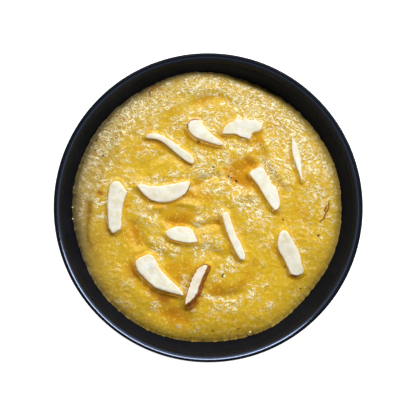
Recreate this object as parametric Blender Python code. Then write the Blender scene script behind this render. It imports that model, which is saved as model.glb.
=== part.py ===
"""A round satin bowl of almond halwa, with twelve cut almond slices lying on top.

All sizes below are millimetres. MM turns them into Blender's metres where a mesh is made.
The origin is on the table, under the middle of the bowl. +Z is up, +Y points away from the eater.
"""

import math
from collections import namedtuple

import bmesh
import bpy
import numpy as np
from mathutils import Matrix, Vector, noise

MM = 0.001

# The bowl's driving sizes. The sharp angles, in degrees, keep an edge from being shaded smooth.
BOWL_RADIUS = 63.0
BOWL_HEIGHT = 50.0
LIP_RADIUS = 0.9
LIP_SLOPE = math.radians(12.0)
LIP_REACH = 7.0
WALL_THICKENING = 1.9
FLOOR_HEIGHT = 4.6
BELLY_RADIUS = 58.0
FOOT_RADIUS = 30.0
FOOT_WIDTH = 4.4
FOOT_ROUNDING = 0.6
FOOT_TAPER = 0.3
FOOT_RECESS = 1.9
WALL_POINTS = 13
LIP_POINTS = 7
BOWL_SHARP = 40.0
BOWL_SEGMENTS = 72

# How the halwa fills it.
FIT_GAP = 0.35
FILL_HEIGHT = 38.2
FILL_WAVES = ((0.71, 1, -1.28), (0.17, 2, -2.39), (0.52, 3, 1.8), (0.27, 4, 1.3), (0.52, 5, 0.0),
              (0.29, 6, 2.8), (0.23, 7, 3.0), (0.31, 9, -1.0))
EDGE_RISE = 3.0
EDGE_ROUNDING = 3.6
DOME_RISE = 1.3
RELIEF_FADE = 2.6
LUMP_SIZE = 8.5
LUMP_HEIGHT = 0.5
LUMP_SEED = 3.7
WANDER_SIZE = 8.0
WANDER = 2.2
WANDER_SEEDS = (1.5, 7.5)
PATH_STEPS = 6
END_FADE = 0.22
WALL_SAMPLES = 60
HALWA_RINGS = 26
UNDERSIDE_HEIGHTS = (33.0, 26.0, 19.0, 12.5, 8.0, 5.6)
FOOD_SHARP = 50.0

# How an almond slice lies in its seat.
SEAT_GAP = 0.3
SEAT_MARGIN = 1.7
SEAT_BLEND = 1.8
SEAT_STEEPNESS = 1.2
SEAT_LIFT = 0.25
SEAT_REACH = 0.36
SEAT_BREADTH = 0.7
MOST_TILT = 0.2
SLICE_ROUNDING = 0.35
OUTLINE_STEPS = 2

# A fold stands up on the left of its path, where one spoonful overlaps the next.
Fold = namedtuple("Fold", "path rise width reach groove")
FOLDS = (
    Fold(((-31, 41), (-38, 31), (-42, 22), (-43.5, 16), (-47, 8), (-49.7, 0), (-50.5, -7), (-49, -15),
          (-45, -21)), 0.9, 1.4, 7, 0.5),
    Fold(((-2, -29), (0.5, -34.5), (5, -36.6), (10, -36), (15, -32.7), (18, -27.7), (19, -22.5), (17, -17)),
         0.9, 2.8, 12, 0.5),
    Fold(((-28.5, -2), (-27.8, -9), (-25.5, -15.5), (-20.5, -19.5), (-13, -21.5)),
         0.8, 2.2, 8, 0.5),
    Fold(((-4, 15.5), (-7.5, 18.8), (-12.8, 21), (-17.8, 21.3), (-22.5, 20), (-27, 16), (-29, 10)),
         0.6, 2.0, 8, 0.4),
    Fold(((8.6, 49), (15.8, 47), (22.5, 42.5), (28, 36), (32.4, 31), (36, 24)),
         0.6, 1.5, 6, 0.2),
    Fold(((17, 29), (21.5, 23.5), (22.5, 18.5), (26, 14), (29.5, 9.5), (31, 4)),
         0.8, 1.4, 6, 0.4),
    Fold(((-9, -24), (-5, -20), (-1, -18.2), (3.5, -18.8), (7, -21.5)),
         0.7, 2.2, 7, 0.4),
)

# A ridge rises evenly on both sides of its path, and a hollow has a negative rise.
Ridge = namedtuple("Ridge", "path rise width")
RIDGES = (
    Ridge(((-27, -2), (-20.7, 1.4), (-14.9, 2.2), (-7.4, 1), (0, -1)), 1.0, 1.7),
    Ridge(((8, 0.5), (13.5, 4.7), (19.5, 7)), 0.9, 2.6),
    Ridge(((-24, 42), (-31, 34), (-36, 25), (-38, 17)), 0.6, 1.8),
    Ridge(((-12, 49), (0, 50.5), (10, 49.5)), 0.6, 2.2),
    Ridge(((41, 18), (44, 6), (43, -8)), 0.6, 3.0),
    Ridge(((-40, -24), (-31, -34), (-20, -42)), 0.6, 3.4),
    Ridge(((18, 20.5), (13.5, 14), (10.5, 8)), -1.8, 4.2),
    Ridge(((-9, 8), (-1, 10.8), (7, 12)), -1.1, 2.2),
    Ridge(((-23, -4.5), (-13.6, -6.1), (-5.3, -7.8), (3, -8.2), (7, -6.5)), -1.1, 1.8),
    Ridge(((-26, -38), (-15.7, -42.7), (-6, -43.5)), -0.8, 4.0),
    Ridge(((-13, 40.4), (-7.4, 42.9), (-1.2, 45), (6, 45.2), (12, 42.5), (16, 39.5)), -0.9, 2.0),
    Ridge(((-31.5, -4), (-31, -11), (-28.5, -17.5)), -0.9, 2.2),
)

# A slice's stations give its share of the length, and how far its two edges lie left of its axis.
# Its underside lies shifted by the lean, to the left of its heading, so that one cut side shows.
Slice = namedtuple("Slice", "centre heading length thickness lean stations")
SLICES = (
    Slice((-15.6, 24.3), -29, 21.6, 1.5, -0.2,
          ((0, 1.0, -1.0), (0.2, 2.9, 0.6), (0.4, 3.0, 0.4), (0.7, 2.3, -0.9), (0.9, 1.8, -1.4),
           (1, 0.6, -1.0))),
    Slice((-0.9, 30.8), -34, 16.6, 1.5, -0.7,
          ((0, 0.8, -1.8), (0.15, 2.9, -3.5), (0.38, 1.8, -3.9), (0.65, 0.9, -2.8), (0.9, 0.7, -1.5),
           (1, 0.3, -0.4))),
    Slice((13.9, 32.9), 12, 16.5, 1.3, -0.3,
          ((0, 0.2, -0.9), (0.13, 2.6, -1.3), (0.32, 3.6, -2.0), (0.42, 4.5, -3.4), (0.54, 3.4, -4.3),
           (0.64, 4.0, -5.1), (0.74, 2.7, -2.9), (0.9, 2.0, -2.6), (1, 0.2, -1.6))),
    Slice((36.8, 20.3), -79, 17.9, 1.2, 0.0,
          ((0, 0.3, -0.3), (0.2, 1.1, -1.2), (0.4, 1.5, -1.5), (0.6, 1.4, -1.2), (0.8, 0.9, -0.6),
           (1, 0.25, -0.2))),
    Slice((24.3, 7.6), -60.5, 18.7, 1.4, -0.3,
          ((0, 2.2, -3.0), (0.2, 3.0, -2.8), (0.4, 2.5, -2.5), (0.58, 3.5, -2.4), (0.8, 2.6, -2.2),
           (0.93, 1.5, -1.9), (1, -0.4, -1.6))),
    Slice((-38.0, 0.1), -90, 21.0, 1.5, 0.2,
          ((0, 1.2, -0.9), (0.08, 2.6, -2.4), (0.22, 4.3, -3.1), (0.4, 3.0, -3.4), (0.68, 2.2, -3.3),
           (0.88, 2.2, -3.0), (0.94, 1.5, -2.4), (1, -0.6, -1.7))),
    Slice((-18.6, 9.3), 3, 21.6, 1.6, -0.5,
          ((0, 0.5, 0.0), (0.12, 0.7, -3.4), (0.28, -0.3, -6.1), (0.5, -0.2, -7.2), (0.72, 0.3, -6.2),
           (0.9, 0.8, -4.2), (1, 0.9, -1.0))),
    Slice((-11.0, -12.1), -16, 13.6, 1.3, -0.4,
          ((0, 0.6, -0.4), (0.15, 2.7, -1.8), (0.4, 4.2, -2.2), (0.65, 4.5, -1.9), (0.85, 2.9, -1.2),
           (1, 0.5, -0.1))),
    Slice((10.7, -11.7), -69, 21.0, 1.4, -0.3,
          ((0, 0.6, -1.0), (0.08, 1.1, -1.8), (0.3, 0.9, -2.3), (0.5, 0.8, -2.3), (0.75, 1.4, -2.0),
           (0.93, 1.3, -1.5), (1, 0.4, -0.5))),
    Slice((33.8, -18.8), -70, 19.4, 1.5, -0.3,
          ((0, 1.0, -0.6), (0.08, 2.1, -2.1), (0.22, 2.5, -3.6), (0.37, 3.1, -4.0), (0.58, 3.6, -3.3),
           (0.8, 3.0, -2.9), (0.93, 3.0, -2.6), (1, 1.8, -0.8))),
    Slice((-19.2, -28.0), -41.5, 23.4, 1.7, -0.7,
          ((0, -0.6, -3.0), (0.07, 2.7, -4.2), (0.17, 3.7, -5.0), (0.38, 1.9, -5.4), (0.58, 1.3, -5.1),
           (0.75, 1.1, -3.3), (0.9, 0.9, -1.7), (1, 0.4, -0.4))),
    Slice((-5.2, -31.8), -116, 18.9, 2.2, 1.4,
          ((0, 1.1, -0.6), (0.15, 1.5, -2.6), (0.32, 1.5, -2.9), (0.5, 1.9, -2.8), (0.65, 2.3, -2.4),
           (0.88, 1.2, -1.6), (1, -0.1, -0.6))),
)


def clear_scene():
    for obj in list(bpy.data.objects):
        bpy.data.objects.remove(obj, do_unlink=True)


def material(name, colour, roughness):
    made = bpy.data.materials.new(name)
    made.use_nodes = True
    shader = made.node_tree.nodes["Principled BSDF"]
    shader.inputs["Base Color"].default_value = (*colour, 1.0)
    shader.inputs["Roughness"].default_value = roughness
    return made


def finish_object(name, bm, finish, sharp_angle):
    """Turns a bmesh in millimetres into a smooth-shaded object in metres."""
    bmesh.ops.scale(bm, vec=(MM, MM, MM), verts=bm.verts)
    bmesh.ops.recalc_face_normals(bm, faces=bm.faces)
    if bm.calc_volume(signed=True) < 0:
        bmesh.ops.reverse_faces(bm, faces=bm.faces)
    mesh = bpy.data.meshes.new(name)
    bm.to_mesh(mesh)
    bm.free()
    mesh.shade_smooth()
    mesh.set_sharp_from_angle(angle=math.radians(sharp_angle))
    mesh.materials.append(finish)
    obj = bpy.data.objects.new(name, mesh)
    bpy.context.scene.collection.objects.link(obj)
    return obj


def catmull_rom(points, steps, closed):
    """Points on the smooth curve through the given ones, with so many steps in each span."""
    known = np.array(points, float)
    count = len(known)
    if closed:
        spans = [known[[(i - 1) % count, i, (i + 1) % count, (i + 2) % count]] for i in range(count)]
    else:
        ends = np.vstack([2 * known[0] - known[1], known, 2 * known[-1] - known[-2]])
        spans = [ends[i:i + 4] for i in range(count - 1)]
    curve = []
    for before, start, end, after in spans:
        for t in np.arange(steps) / steps:
            curve.append(0.5 * (2 * start + (end - before) * t
                                + (2 * before - 5 * start + 4 * end - after) * t ** 2
                                + (3 * start - before - 3 * end + after) * t ** 3))
    if not closed:
        curve.append(known[-1])
    return np.array(curve)


def smooth_step(value):
    t = np.clip(value, 0.0, 1.0)
    return t * t * (3 - 2 * t)


def noise_at(points, size, seed):
    """Smooth noise between about -1 and 1 at each place, with waves of the given size."""
    scaled = np.column_stack([points / size, np.full(len(points), seed)])
    return np.array([noise.noise(Vector(place)) for place in scaled])


def inner_wall(points):
    """The inside of the bowl from the lip to the middle of its floor, as (radius, height)."""
    lip = np.array([BOWL_RADIUS - LIP_RADIUS, BOWL_HEIGHT - LIP_RADIUS])
    along = np.array([math.cos(LIP_SLOPE), math.sin(LIP_SLOPE)])
    start = lip + LIP_RADIUS * np.array([-along[1], along[0]])
    handles = (start, start - LIP_REACH * along, (BELLY_RADIUS, FLOOR_HEIGHT), (0.0, FLOOR_HEIGHT))
    t = np.linspace(0, 1, points)[:, None]
    weights = ((1 - t) ** 3, 3 * (1 - t) ** 2 * t, 3 * (1 - t) * t ** 2, t ** 3)
    return sum(w * np.array(h) for w, h in zip(weights, handles))


def offset_outwards(profile, distance):
    """The same profile moved away from the bowl's hollow. A negative distance moves it inwards."""
    tangent = np.gradient(profile, axis=0)
    tangent /= np.linalg.norm(tangent, axis=1)[:, None]
    outwards = np.column_stack([-tangent[:, 1], tangent[:, 0]])
    return profile + outwards * np.asarray(distance).reshape(-1, 1)


def bowl_profile():
    """The half section of the bowl, from the middle of its floor over the lip to the middle underneath."""
    inner = inner_wall(2 * WALL_POINTS - 1)
    share = np.linspace(0, 1, len(inner))
    outer = offset_outwards(inner, 2 * LIP_RADIUS + WALL_THICKENING * share)
    outer = outer[outer[:, 0] > FOOT_RADIUS + FOOT_ROUNDING]
    turn = np.linspace(LIP_SLOPE + math.pi / 2, LIP_SLOPE - math.pi / 2, LIP_POINTS)[1:-1]
    lip = np.column_stack([BOWL_RADIUS - LIP_RADIUS + LIP_RADIUS * np.cos(turn),
                           BOWL_HEIGHT - LIP_RADIUS + LIP_RADIUS * np.sin(turn)])
    inside_foot = FOOT_RADIUS - FOOT_WIDTH
    foot = [(FOOT_RADIUS, outer[-1][1] - FOOT_ROUNDING), (FOOT_RADIUS - FOOT_TAPER, FOOT_ROUNDING),
            (FOOT_RADIUS - FOOT_TAPER - FOOT_ROUNDING, 0.0), (inside_foot + FOOT_ROUNDING, 0.0),
            (inside_foot, FOOT_ROUNDING), (inside_foot - FOOT_ROUNDING, FOOT_RECESS), (0.0, FOOT_RECESS)]
    return np.vstack([inner[::-2], lip, outer[::2], foot])


def make_bowl(finish):
    bm = bmesh.new()
    rim = [bm.verts.new((r, 0.0, z)) for r, z in bowl_profile()]
    edges = [bm.edges.new(pair) for pair in zip(rim, rim[1:])]
    bmesh.ops.spin(bm, geom=rim + edges, cent=(0, 0, 0), axis=(0, 0, 1), angle=2 * math.pi,
                   steps=BOWL_SEGMENTS, use_merge=True)
    bmesh.ops.remove_doubles(bm, verts=bm.verts, dist=0.001)
    return finish_object("bowl", bm, finish, BOWL_SHARP)


def nearest_on_path(spots, path):
    """For each spot: its distance from the path, positive on the left, and how far along it is."""
    curve = catmull_rom(path, PATH_STEPS, closed=False)
    start = curve[:-1]
    step = curve[1:] - start
    away = spots[:, None, :] - start
    share = np.clip((away * step).sum(2) / (step ** 2).sum(1), 0, 1)
    gap = away - share[:, :, None] * step
    distance = np.hypot(gap[:, :, 0], gap[:, :, 1])
    best = distance.argmin(1)
    rows = np.arange(len(spots))
    side = np.sign(step[best, 0] * gap[rows, best, 1] - step[best, 1] * gap[rows, best, 0])
    along = (best + share[rows, best]) / len(step)
    return distance[rows, best] * side, along


def fade_at_ends(along):
    return smooth_step(np.minimum(along, 1 - along) / END_FADE)


def relief(spots):
    """The spoon's folds, ridges and hollows, and the soft lumps between them."""
    height = LUMP_HEIGHT * noise_at(spots, LUMP_SIZE, LUMP_SEED)
    wander = np.column_stack([noise_at(spots, WANDER_SIZE, seed) for seed in WANDER_SEEDS])
    spots = spots + WANDER * wander
    for fold in FOLDS:
        distance, along = nearest_on_path(spots, fold.path)
        lifted = fold.rise * smooth_step(distance / (2 * fold.width)) * np.exp(-(distance / fold.reach) ** 2)
        crease = fold.groove * np.exp(-(distance / fold.width) ** 2)
        height += (lifted - crease) * fade_at_ends(along)
    for ridge in RIDGES:
        distance, along = nearest_on_path(spots, ridge.path)
        height += ridge.rise * np.exp(-(distance / ridge.width) ** 2) * fade_at_ends(along)
    return height


def fill_line(angle):
    """The height at which the halwa meets the wall, which wavers as it goes round."""
    return FILL_HEIGHT + sum(height * np.sin(count * angle + start) for height, count, start in FILL_WAVES)


def wall_radius(height):
    """The largest radius that the halwa may reach at a height, clear of the bowl."""
    wall = offset_outwards(inner_wall(WALL_SAMPLES), -FIT_GAP)[::-1]
    return np.interp(height, wall[:, 1], wall[:, 0])


def soft_surface(spots):
    """The height of the halwa before the almonds are pressed into it."""
    radius = np.hypot(spots[:, 0], spots[:, 1])
    angle = np.arctan2(spots[:, 1], spots[:, 0])
    edge = fill_line(angle)
    limit = wall_radius(edge)
    share = radius / limit
    inset = np.maximum(limit - radius, 0.0)
    base = FILL_HEIGHT + (edge - FILL_HEIGHT) * share ** 3
    rise = EDGE_RISE * (1 - np.exp(-inset / EDGE_ROUNDING)) + DOME_RISE * (1 - share ** 2)
    return base + rise + relief(spots) * (1 - np.exp(-inset / RELIEF_FADE))


def axes_of(piece):
    heading = math.radians(piece.heading)
    along = np.array([math.cos(heading), math.sin(heading)])
    return along, np.array([-along[1], along[0]])


def half_width(piece):
    return max(max(abs(left), abs(right)) for _, left, right in piece.stations)


def seat_plane(piece):
    """The height at a slice's centre, and the slope of the flat seat that it presses into the halwa."""
    along, left = axes_of(piece)
    centre = np.array(piece.centre, float)
    reach, breadth = SEAT_REACH * piece.length, SEAT_BREADTH * half_width(piece)
    ends = np.array([centre + along * reach, centre - along * reach,
                     centre + left * breadth, centre - left * breadth, centre])
    front, back, port, starboard, middle = soft_surface(ends)
    pitch = np.clip((front - back) / (2 * reach), -MOST_TILT, MOST_TILT)
    roll = np.clip((port - starboard) / (2 * breadth), -MOST_TILT, MOST_TILT)
    height = SEAT_LIFT + (middle + (front + back + port + starboard) / 4) / 2
    return height, pitch * along + roll * left


def distance_outside(spots, outline):
    """How far each spot lies outside a closed outline. Inside it the distance is negative."""
    following = np.roll(outline, -1, axis=0)
    step = following - outline
    away = spots[:, None, :] - outline
    share = np.clip((away * step).sum(2) / (step ** 2).sum(1), 0, 1)
    gap = away - share[:, :, None] * step
    distance = np.hypot(gap[:, :, 0], gap[:, :, 1]).min(1)
    level = spots[:, 1:2]
    spans = (outline[:, 1] > level) != (following[:, 1] > level)
    rise = np.where(step[:, 1] == 0, 1.0, step[:, 1])
    meets = outline[:, 0] + (level - outline[:, 1]) * step[:, 0] / rise
    inside = (spans & (spots[:, 0:1] < meets)).sum(1) % 2 == 1
    return np.where(inside, -distance, distance)


def halwa_surface(spots):
    """The height of the halwa, with a flat seat under each almond slice."""
    height = soft_surface(spots)
    ceiling = np.full(len(spots), np.inf)
    for piece in SLICES:
        level, slope = seat_plane(piece)
        plane = level + (spots - np.array(piece.centre)) @ slope
        beyond = distance_outside(spots, underside_outline(piece)) - SEAT_MARGIN
        pressed = smooth_step(1 - beyond / SEAT_BLEND)
        height += (plane - height) * pressed
        ceiling = np.minimum(ceiling, plane + SEAT_STEEPNESS * np.maximum(beyond, 0.0))
    return np.minimum(height, ceiling)


def hexagon_to_disc(x, y):
    """A place in a hexagon of size 1, as a share of the radius and an angle, evenly spread round a disc."""
    sector = np.floor(np.arctan2(y, x) / (math.pi / 3))
    middle = (sector + 0.5) * math.pi / 3
    depth = x * np.cos(middle) + y * np.sin(middle)
    across = -x * np.sin(middle) + y * np.cos(middle)
    share = depth / math.cos(math.pi / 6)
    turn = np.divide(across, share, out=np.zeros_like(x), where=share > 1e-9)
    return share, middle + turn * math.pi / 3


def make_halwa(finish):
    bm = bmesh.new()
    bmesh.ops.create_circle(bm, cap_ends=True, cap_tris=True, segments=6, radius=1.0)
    bmesh.ops.rotate(bm, verts=bm.verts, cent=(0, 0, 0), matrix=Matrix.Rotation(math.radians(30), 3, "Z"))
    bmesh.ops.subdivide_edges(bm, edges=bm.edges, cuts=HALWA_RINGS - 1, use_grid_fill=True)
    flat = np.array([v.co for v in bm.verts])
    share, angle = hexagon_to_disc(flat[:, 0], flat[:, 1])
    middle = wall_radius(FILL_HEIGHT)
    radius = share * (middle + (wall_radius(fill_line(angle)) - middle) * share ** 3)
    spots = np.column_stack([radius * np.cos(angle), radius * np.sin(angle)])
    for vert, (x, y), z in zip(bm.verts, spots, halwa_surface(spots)):
        vert.co = (x, y, z)
    rim = [edge for edge in bm.edges if edge.is_boundary]
    for ring_height in UNDERSIDE_HEIGHTS:
        ring_radius = wall_radius(ring_height)
        made = bmesh.ops.extrude_edge_only(bm, edges=rim)["geom"]
        for vert in (item for item in made if isinstance(item, bmesh.types.BMVert)):
            turn = math.atan2(vert.co.y, vert.co.x)
            vert.co = (ring_radius * math.cos(turn), ring_radius * math.sin(turn), ring_height)
        rim = [item for item in made if isinstance(item, bmesh.types.BMEdge) and item.is_boundary]
    bmesh.ops.contextual_create(bm, geom=rim)
    return finish_object("halwa", bm, finish, FOOD_SHARP)


def slice_outline(piece):
    """The slice seen from above, as points round its edge."""
    along, left = axes_of(piece)
    centre = np.array(piece.centre, float)
    corners = [(share, near) for share, near, _ in piece.stations]
    corners += [(share, far) for share, _, far in reversed(piece.stations)]
    places = [centre + along * (share - 0.5) * piece.length + left * aside for share, aside in corners]
    return catmull_rom(places, OUTLINE_STEPS, closed=True)


def grown(outline, distance):
    """A clockwise outline moved outwards by a distance, or inwards by a negative one."""
    tangent = np.roll(outline, -1, axis=0) - np.roll(outline, 1, axis=0)
    tangent /= np.linalg.norm(tangent, axis=1)[:, None]
    return outline + distance * np.column_stack([-tangent[:, 1], tangent[:, 0]])


def underside_outline(piece):
    _, left = axes_of(piece)
    return slice_outline(piece) + piece.lean * left


def make_slice(name, piece, finish):
    """Three rings, for the shifted underside, the edge and the rounded top, closed by a face at each end."""
    level, slope = seat_plane(piece)
    centre = np.array(piece.centre, float)
    outline = slice_outline(piece)
    rings = ((underside_outline(piece), 0.0),
             (outline, piece.thickness - SLICE_ROUNDING),
             (grown(outline, -SLICE_ROUNDING), piece.thickness))
    bm = bmesh.new()
    loops = []
    for ring, lift in rings:
        heights = level + SEAT_GAP + lift + (ring - centre) @ slope
        loops.append([bm.verts.new((x, y, z)) for (x, y), z in zip(ring, heights)])
    edges = [[bm.edges.new((loop[i - 1], loop[i])) for i in range(len(loop))] for loop in loops]
    for lower, upper in zip(edges, edges[1:]):
        bmesh.ops.bridge_loops(bm, edges=lower + upper)
    bm.faces.new(loops[0])
    bm.faces.new(loops[-1])
    return finish_object(name, bm, finish, FOOD_SHARP)


def main():
    clear_scene()
    make_bowl(material("satin_navy_glaze", (0.012, 0.014, 0.02), 0.35))
    make_halwa(material("almond_halwa", (0.62, 0.36, 0.04), 0.3))
    almond = material("cut_almond", (0.86, 0.78, 0.6), 0.5)
    for number, piece in enumerate(SLICES, 1):
        make_slice(f"almond_slice_{number:02d}", piece, almond)


main()
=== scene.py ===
"""Badam halwa in its dark bowl, dressed for the camera.

Shapes are worked out in millimetres, and MM turns them into Blender's metres where a mesh is made.
The origin is on the table, under the middle of the bowl. +Z is up, +Y points to the window.
"""

import math
from collections import namedtuple

import bmesh
import bpy
import numpy as np
from mathutils import Matrix, Vector, noise


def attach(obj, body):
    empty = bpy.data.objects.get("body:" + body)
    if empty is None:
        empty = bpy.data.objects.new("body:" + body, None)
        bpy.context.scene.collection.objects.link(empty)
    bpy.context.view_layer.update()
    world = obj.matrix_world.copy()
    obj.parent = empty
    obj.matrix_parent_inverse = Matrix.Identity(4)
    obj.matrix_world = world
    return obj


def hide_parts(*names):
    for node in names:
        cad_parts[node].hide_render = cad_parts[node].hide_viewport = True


bl_info = {
    "name": "Badam Halwa",
    "version": (1, 0, 0),
    "blender": (4, 5, 0),
    "location": "View3D > Sidebar > Halwa",
    "description": "Fills a dark bowl with glistening almond halwa and lays cut almond slices on it",
    "category": "Add Mesh",
}

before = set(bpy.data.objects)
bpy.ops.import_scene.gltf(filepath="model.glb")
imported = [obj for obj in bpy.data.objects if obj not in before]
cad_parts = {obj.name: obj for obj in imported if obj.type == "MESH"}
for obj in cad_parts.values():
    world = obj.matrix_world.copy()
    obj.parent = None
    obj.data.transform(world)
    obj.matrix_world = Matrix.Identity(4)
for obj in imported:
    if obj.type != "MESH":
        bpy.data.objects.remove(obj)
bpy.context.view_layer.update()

MM = 0.001
BODY = "root"
MERGE_DISTANCE = 0.001

# Saffron strands as paths, and grains as (x, y, size). A crumb on the wall has its height as well.
STRANDS = (
    ((-19.3, 51.0), (-21.6, 50.0), (-23.8, 48.7), (-24.2, 47.2), (-23.8, 45.8)),
    ((50.3, 3.4), (50.0, 0.1), (48.7, -2.4), (47.9, -4.4), (46.2, -5.7)),
    ((49.6, 1.2), (48.6, -0.4), (48.4, -1.6)),
)
SPECKS = (
    (-4.1, 27.1, 0.75), (2.0, 16.8, 0.55), (8.4, 13.0, 0.6), (11.5, 11.3, 0.75), (11.9, 10.8, 0.6),
    (45.7, -11.4, 0.8), (31.0, -4.9, 0.55), (31.7, -24.3, 0.5), (38.5, -33.4, 0.5), (-46.2, 28.0, 0.7),
    (-51.7, 18.8, 0.45), (-43.4, 21.5, 0.6), (-46.5, 23.6, 0.55), (9.6, 12.4, 0.45), (2.4, 15.6, 0.4),
)
DOTS = (
    (2.2, -50.6, 0.7), (12.5, -49.7, 0.7), (-39.5, 38.5, 0.5), (-37.5, 37.8, 0.5), (-36.5, 36.9, 0.6),
    (-35.3, 36.9, 0.5), (-34.7, 36.4, 0.5), (-24.0, 50.0, 0.7), (-22.9, 51.4, 0.6),
)
CRUMBS = (
    (17.4, -51.5, 0.9), (16.9, -52.3, 0.6), (-56.0, 0.1, 0.5, 39.6), (-55.9, -4.6, 0.45, 39.6),
)
BUBBLE = (6.5, -28.0, 0.8)
# A pale grain in the bubble stands for a painted highlight.
GLEAM = ((6.6, -28.25, 0.8),)

# The bubble's section, with its radii as shares of its size, and how the strands and grains are made.
BUBBLE_SECTION = ((0.0, -0.05), (0.55, 0.02), (0.8, 0.18), (1.0, 0.3), (1.15, 0.22), (1.3, -0.1))
BUBBLE_LIFT = 0.1
BUBBLE_STEPS = 20
STRAND_STEPS = 4
STRAND_SIDES = 8
STRAND_LIFT = 0.15
STRAND_TAPER = 0.5
STRAND_UNEVENNESS = 0.3
SPECK_RADIUS = 0.65
SPECK_WAVES = 2.0
SPECK_ROUGHNESS = 0.35
SPECK_FLATNESS = 0.7
SPECK_LIFT = 0.12

# How finely the bowl's section is drawn.
WALL_STEPS = 22
LIP_STEPS = 17

# The glaze in bands from the lip down, as (lowest height, specular level). Further bands are duller, and
# the bowl's whole outside has the outside band.
GLAZE_BANDS = ((49.0, 1.0), (48.0, 0.26), (46.5, 0.10), (-1.0, 0.025))
OUTSIDE_BAND = 2
WALL_BAND = 3
BAND_DULLING = 0.07
SATIN_RANGE = 0.08
LIP_IOR = 1.62

# The thin wavy line at the paste's edge as (height, size, seed), and how it fades from the wall inwards.
EDGE_LINES = ((0.45, 2.8, 8.1), (0.4, 1.2, 4.4))
EDGE_LINE_FADE = 1.2

# How far the paste reaches into the wall, and how far below each slice it stays, so that no gap shows.
WALL_OVERLAP = 0.05
SEAT_CLEARANCE = 0.05

# The amber band, a painted contact shadow, and the raised bead along each slice, most of all on the side
# away from the window.
TO_WINDOW = (0.45, 0.9)
BAND_SHIFT = 0.5
SHADOW_BAND_PLACE = 0.2
SHADOW_BAND_WIDTH = 1.5
BEAD_PLACE = 0.1
BEAD_WIDTH = 0.5
BEAD_RISE = 0.08
BEHIND_BEAD_RISE = 0.55
BAND_NOISE = (4.0, 2.9)
BAND_STRENGTH = 0.8
BAND_UNEVENNESS = 0.45
BEAD_INSET = 2.0

# Where the paste glitters, and so where highlights are painted on its crests: more in the upper part and on
# slopes that face the window, less where amber.
LEAST_GLITTER = 0.16
UPPER_GLITTER = 0.41
UPPER_START = -25
UPPER_SPAN = 60
AMBER_CALM = 0.55
FACING_GLITTER = 0.25
FACING_STEP = 0.5
FACING_SLOPE = 0.3
GLITTER_INSET = 3.2

# How amber the paste is, as ghee colour and painted shade: more in hollows, and below zero on ridges,
# which are painted brighter, partly for a drier paste. Slopes that face the window are painted paler.
AMBER_SHARE = 0.95
LEAST_AMBER = 0.05
BRIGHTEST = -0.6
HOLLOW_LEVEL = -0.2
HOLLOW_SPAN = 1.2
RIDGE_LEVEL = 0.4
RIDGE_SPAN = 1.4
RELIEF_AMBER = 0.4
GLITTER_PALING = 0.2
FACING_PALING = 0.55

# The wrinkles and the grain of the surface, each with its size and seed, and what is left of them where
# nothing glitters.
WRINKLE_NOISE = (2.6, 2.2)
GRAIN_NOISE = (0.95, 5.5)
CALM_WRINKLE = 0.5
CALM_GRAIN = 0.35
WRINKLE_STRETCH = 1.45
WARP = 0.9
WARP_SIZE = 3.0
WARP_SEEDS = (1.3, 6.1)
POOL_SMOOTHING = 0.6
SLICE_MARGIN = 1.2
WALL_MARGIN = 1.5

# The duller, drier colour and painted shade along the wall, darkest at the wall. They reach furthest inwards
# on the dull side, an angle in degrees, and are a little stronger on the dark side, an angle in radians.
DULL_SIDE = 160.0
DULL_REACH = 14.0
DULL_SHARE = 0.45
DARK_SIDE = 1.1
DARK_SHARE = 0.2
EDGE_WIDTH = 3.2
EDGE_SHARE = 0.5
DULL_EDGE_SHARE = 0.3
CONTACT_SHADE_WIDTH = 1.0
CONTACT_SHADE_SHARE = 0.2
DULL_CONTACT_SHADE_SHARE = 0.3

# The painted shade in the creases of the sharp folds, also amber, and the duller ground outside the long
# fold.
SHARP_WIDTH = 2.0
CREASE_WIDTH = 0.55
CREASE_SHARE = 0.35
CREASE_AMBER = 0.6
CREASE_INSET = 3.0
BESIDE_SHARE = 0.3
BESIDE_START = 1.5
BESIDE_REACH = 9.0

# The patterns in the paste's colour, by the size of their features, and how strongly they show.
CLOUD_SIZE = 7.0
DULL_CLOUD_SIZE = 4.0
FLECK_SIZE = 1.15
BREAK_SIZE = 2.4
BREAK_STRENGTH = 1.6
SWIRL_SIZE = 1.35
SWIRL_REGION_SIZE = 9.0
STREAK_LENGTH = 2.0
STREAK_DIRECTIONS = (18.0, -38.0)
# Painted highlights along the wet crests, with painted shadow beside them on the side away from the window.
STREAK_SHADOW = 0.32
CREST_GLINT_STRENGTH = 0.94
CREST_SHADOW_STRENGTH = 0.5
CREST_RISE = 0.35
PASTE_BUMP = 0.35
PASTE_TINT = (1.0, 0.88, 0.55, 1.0)
PASTE_SCATTER = (1.0, 0.55, 0.12)
PASTE_DEPTH = 0.8

# The almonds' cut faces, their rounding and the brown skin's soft ends.
OUTLINE_STEPS = 6
CUT_BEVEL = 0.3
CUT_INSET = 0.25
CUT_SMOOTHING = 0.5
CUT_PASSES = 4
CUT_WAVE = 0.22
CUT_WAVE_SIZE = 5.0
CUT_RIPPLE = 0.05
CUT_RIPPLE_SIZE = 1.3
CUT_RAGGEDNESS = 0.2
CUT_RAGGED_SIZE = 1.5
WAVE_SEED = 10.0
RIPPLE_SEED = 30.0
RAGGED_SEEDS = (50.0, 70.0)
# Warm painted bounce light from the paste on cut sides turned from the window.
BOUNCE_INSET = 0.3
BOUNCE_FADE = 0.4
BOUNCE_SLOPE = 0.8
SKIN_END_FADE = 0.03
SKIN_FADE = 0.2
# A faint warmer tint towards each slice's edge.
EDGE_TINT = 0.25
EDGE_TINT_WIDTH = 0.5
FLESH_SHADE = (0.90, 0.86, 0.74)
FLESH_SCATTER = (1.0, 0.85, 0.6)
FLESH_DEPTH = 2.0

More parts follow.
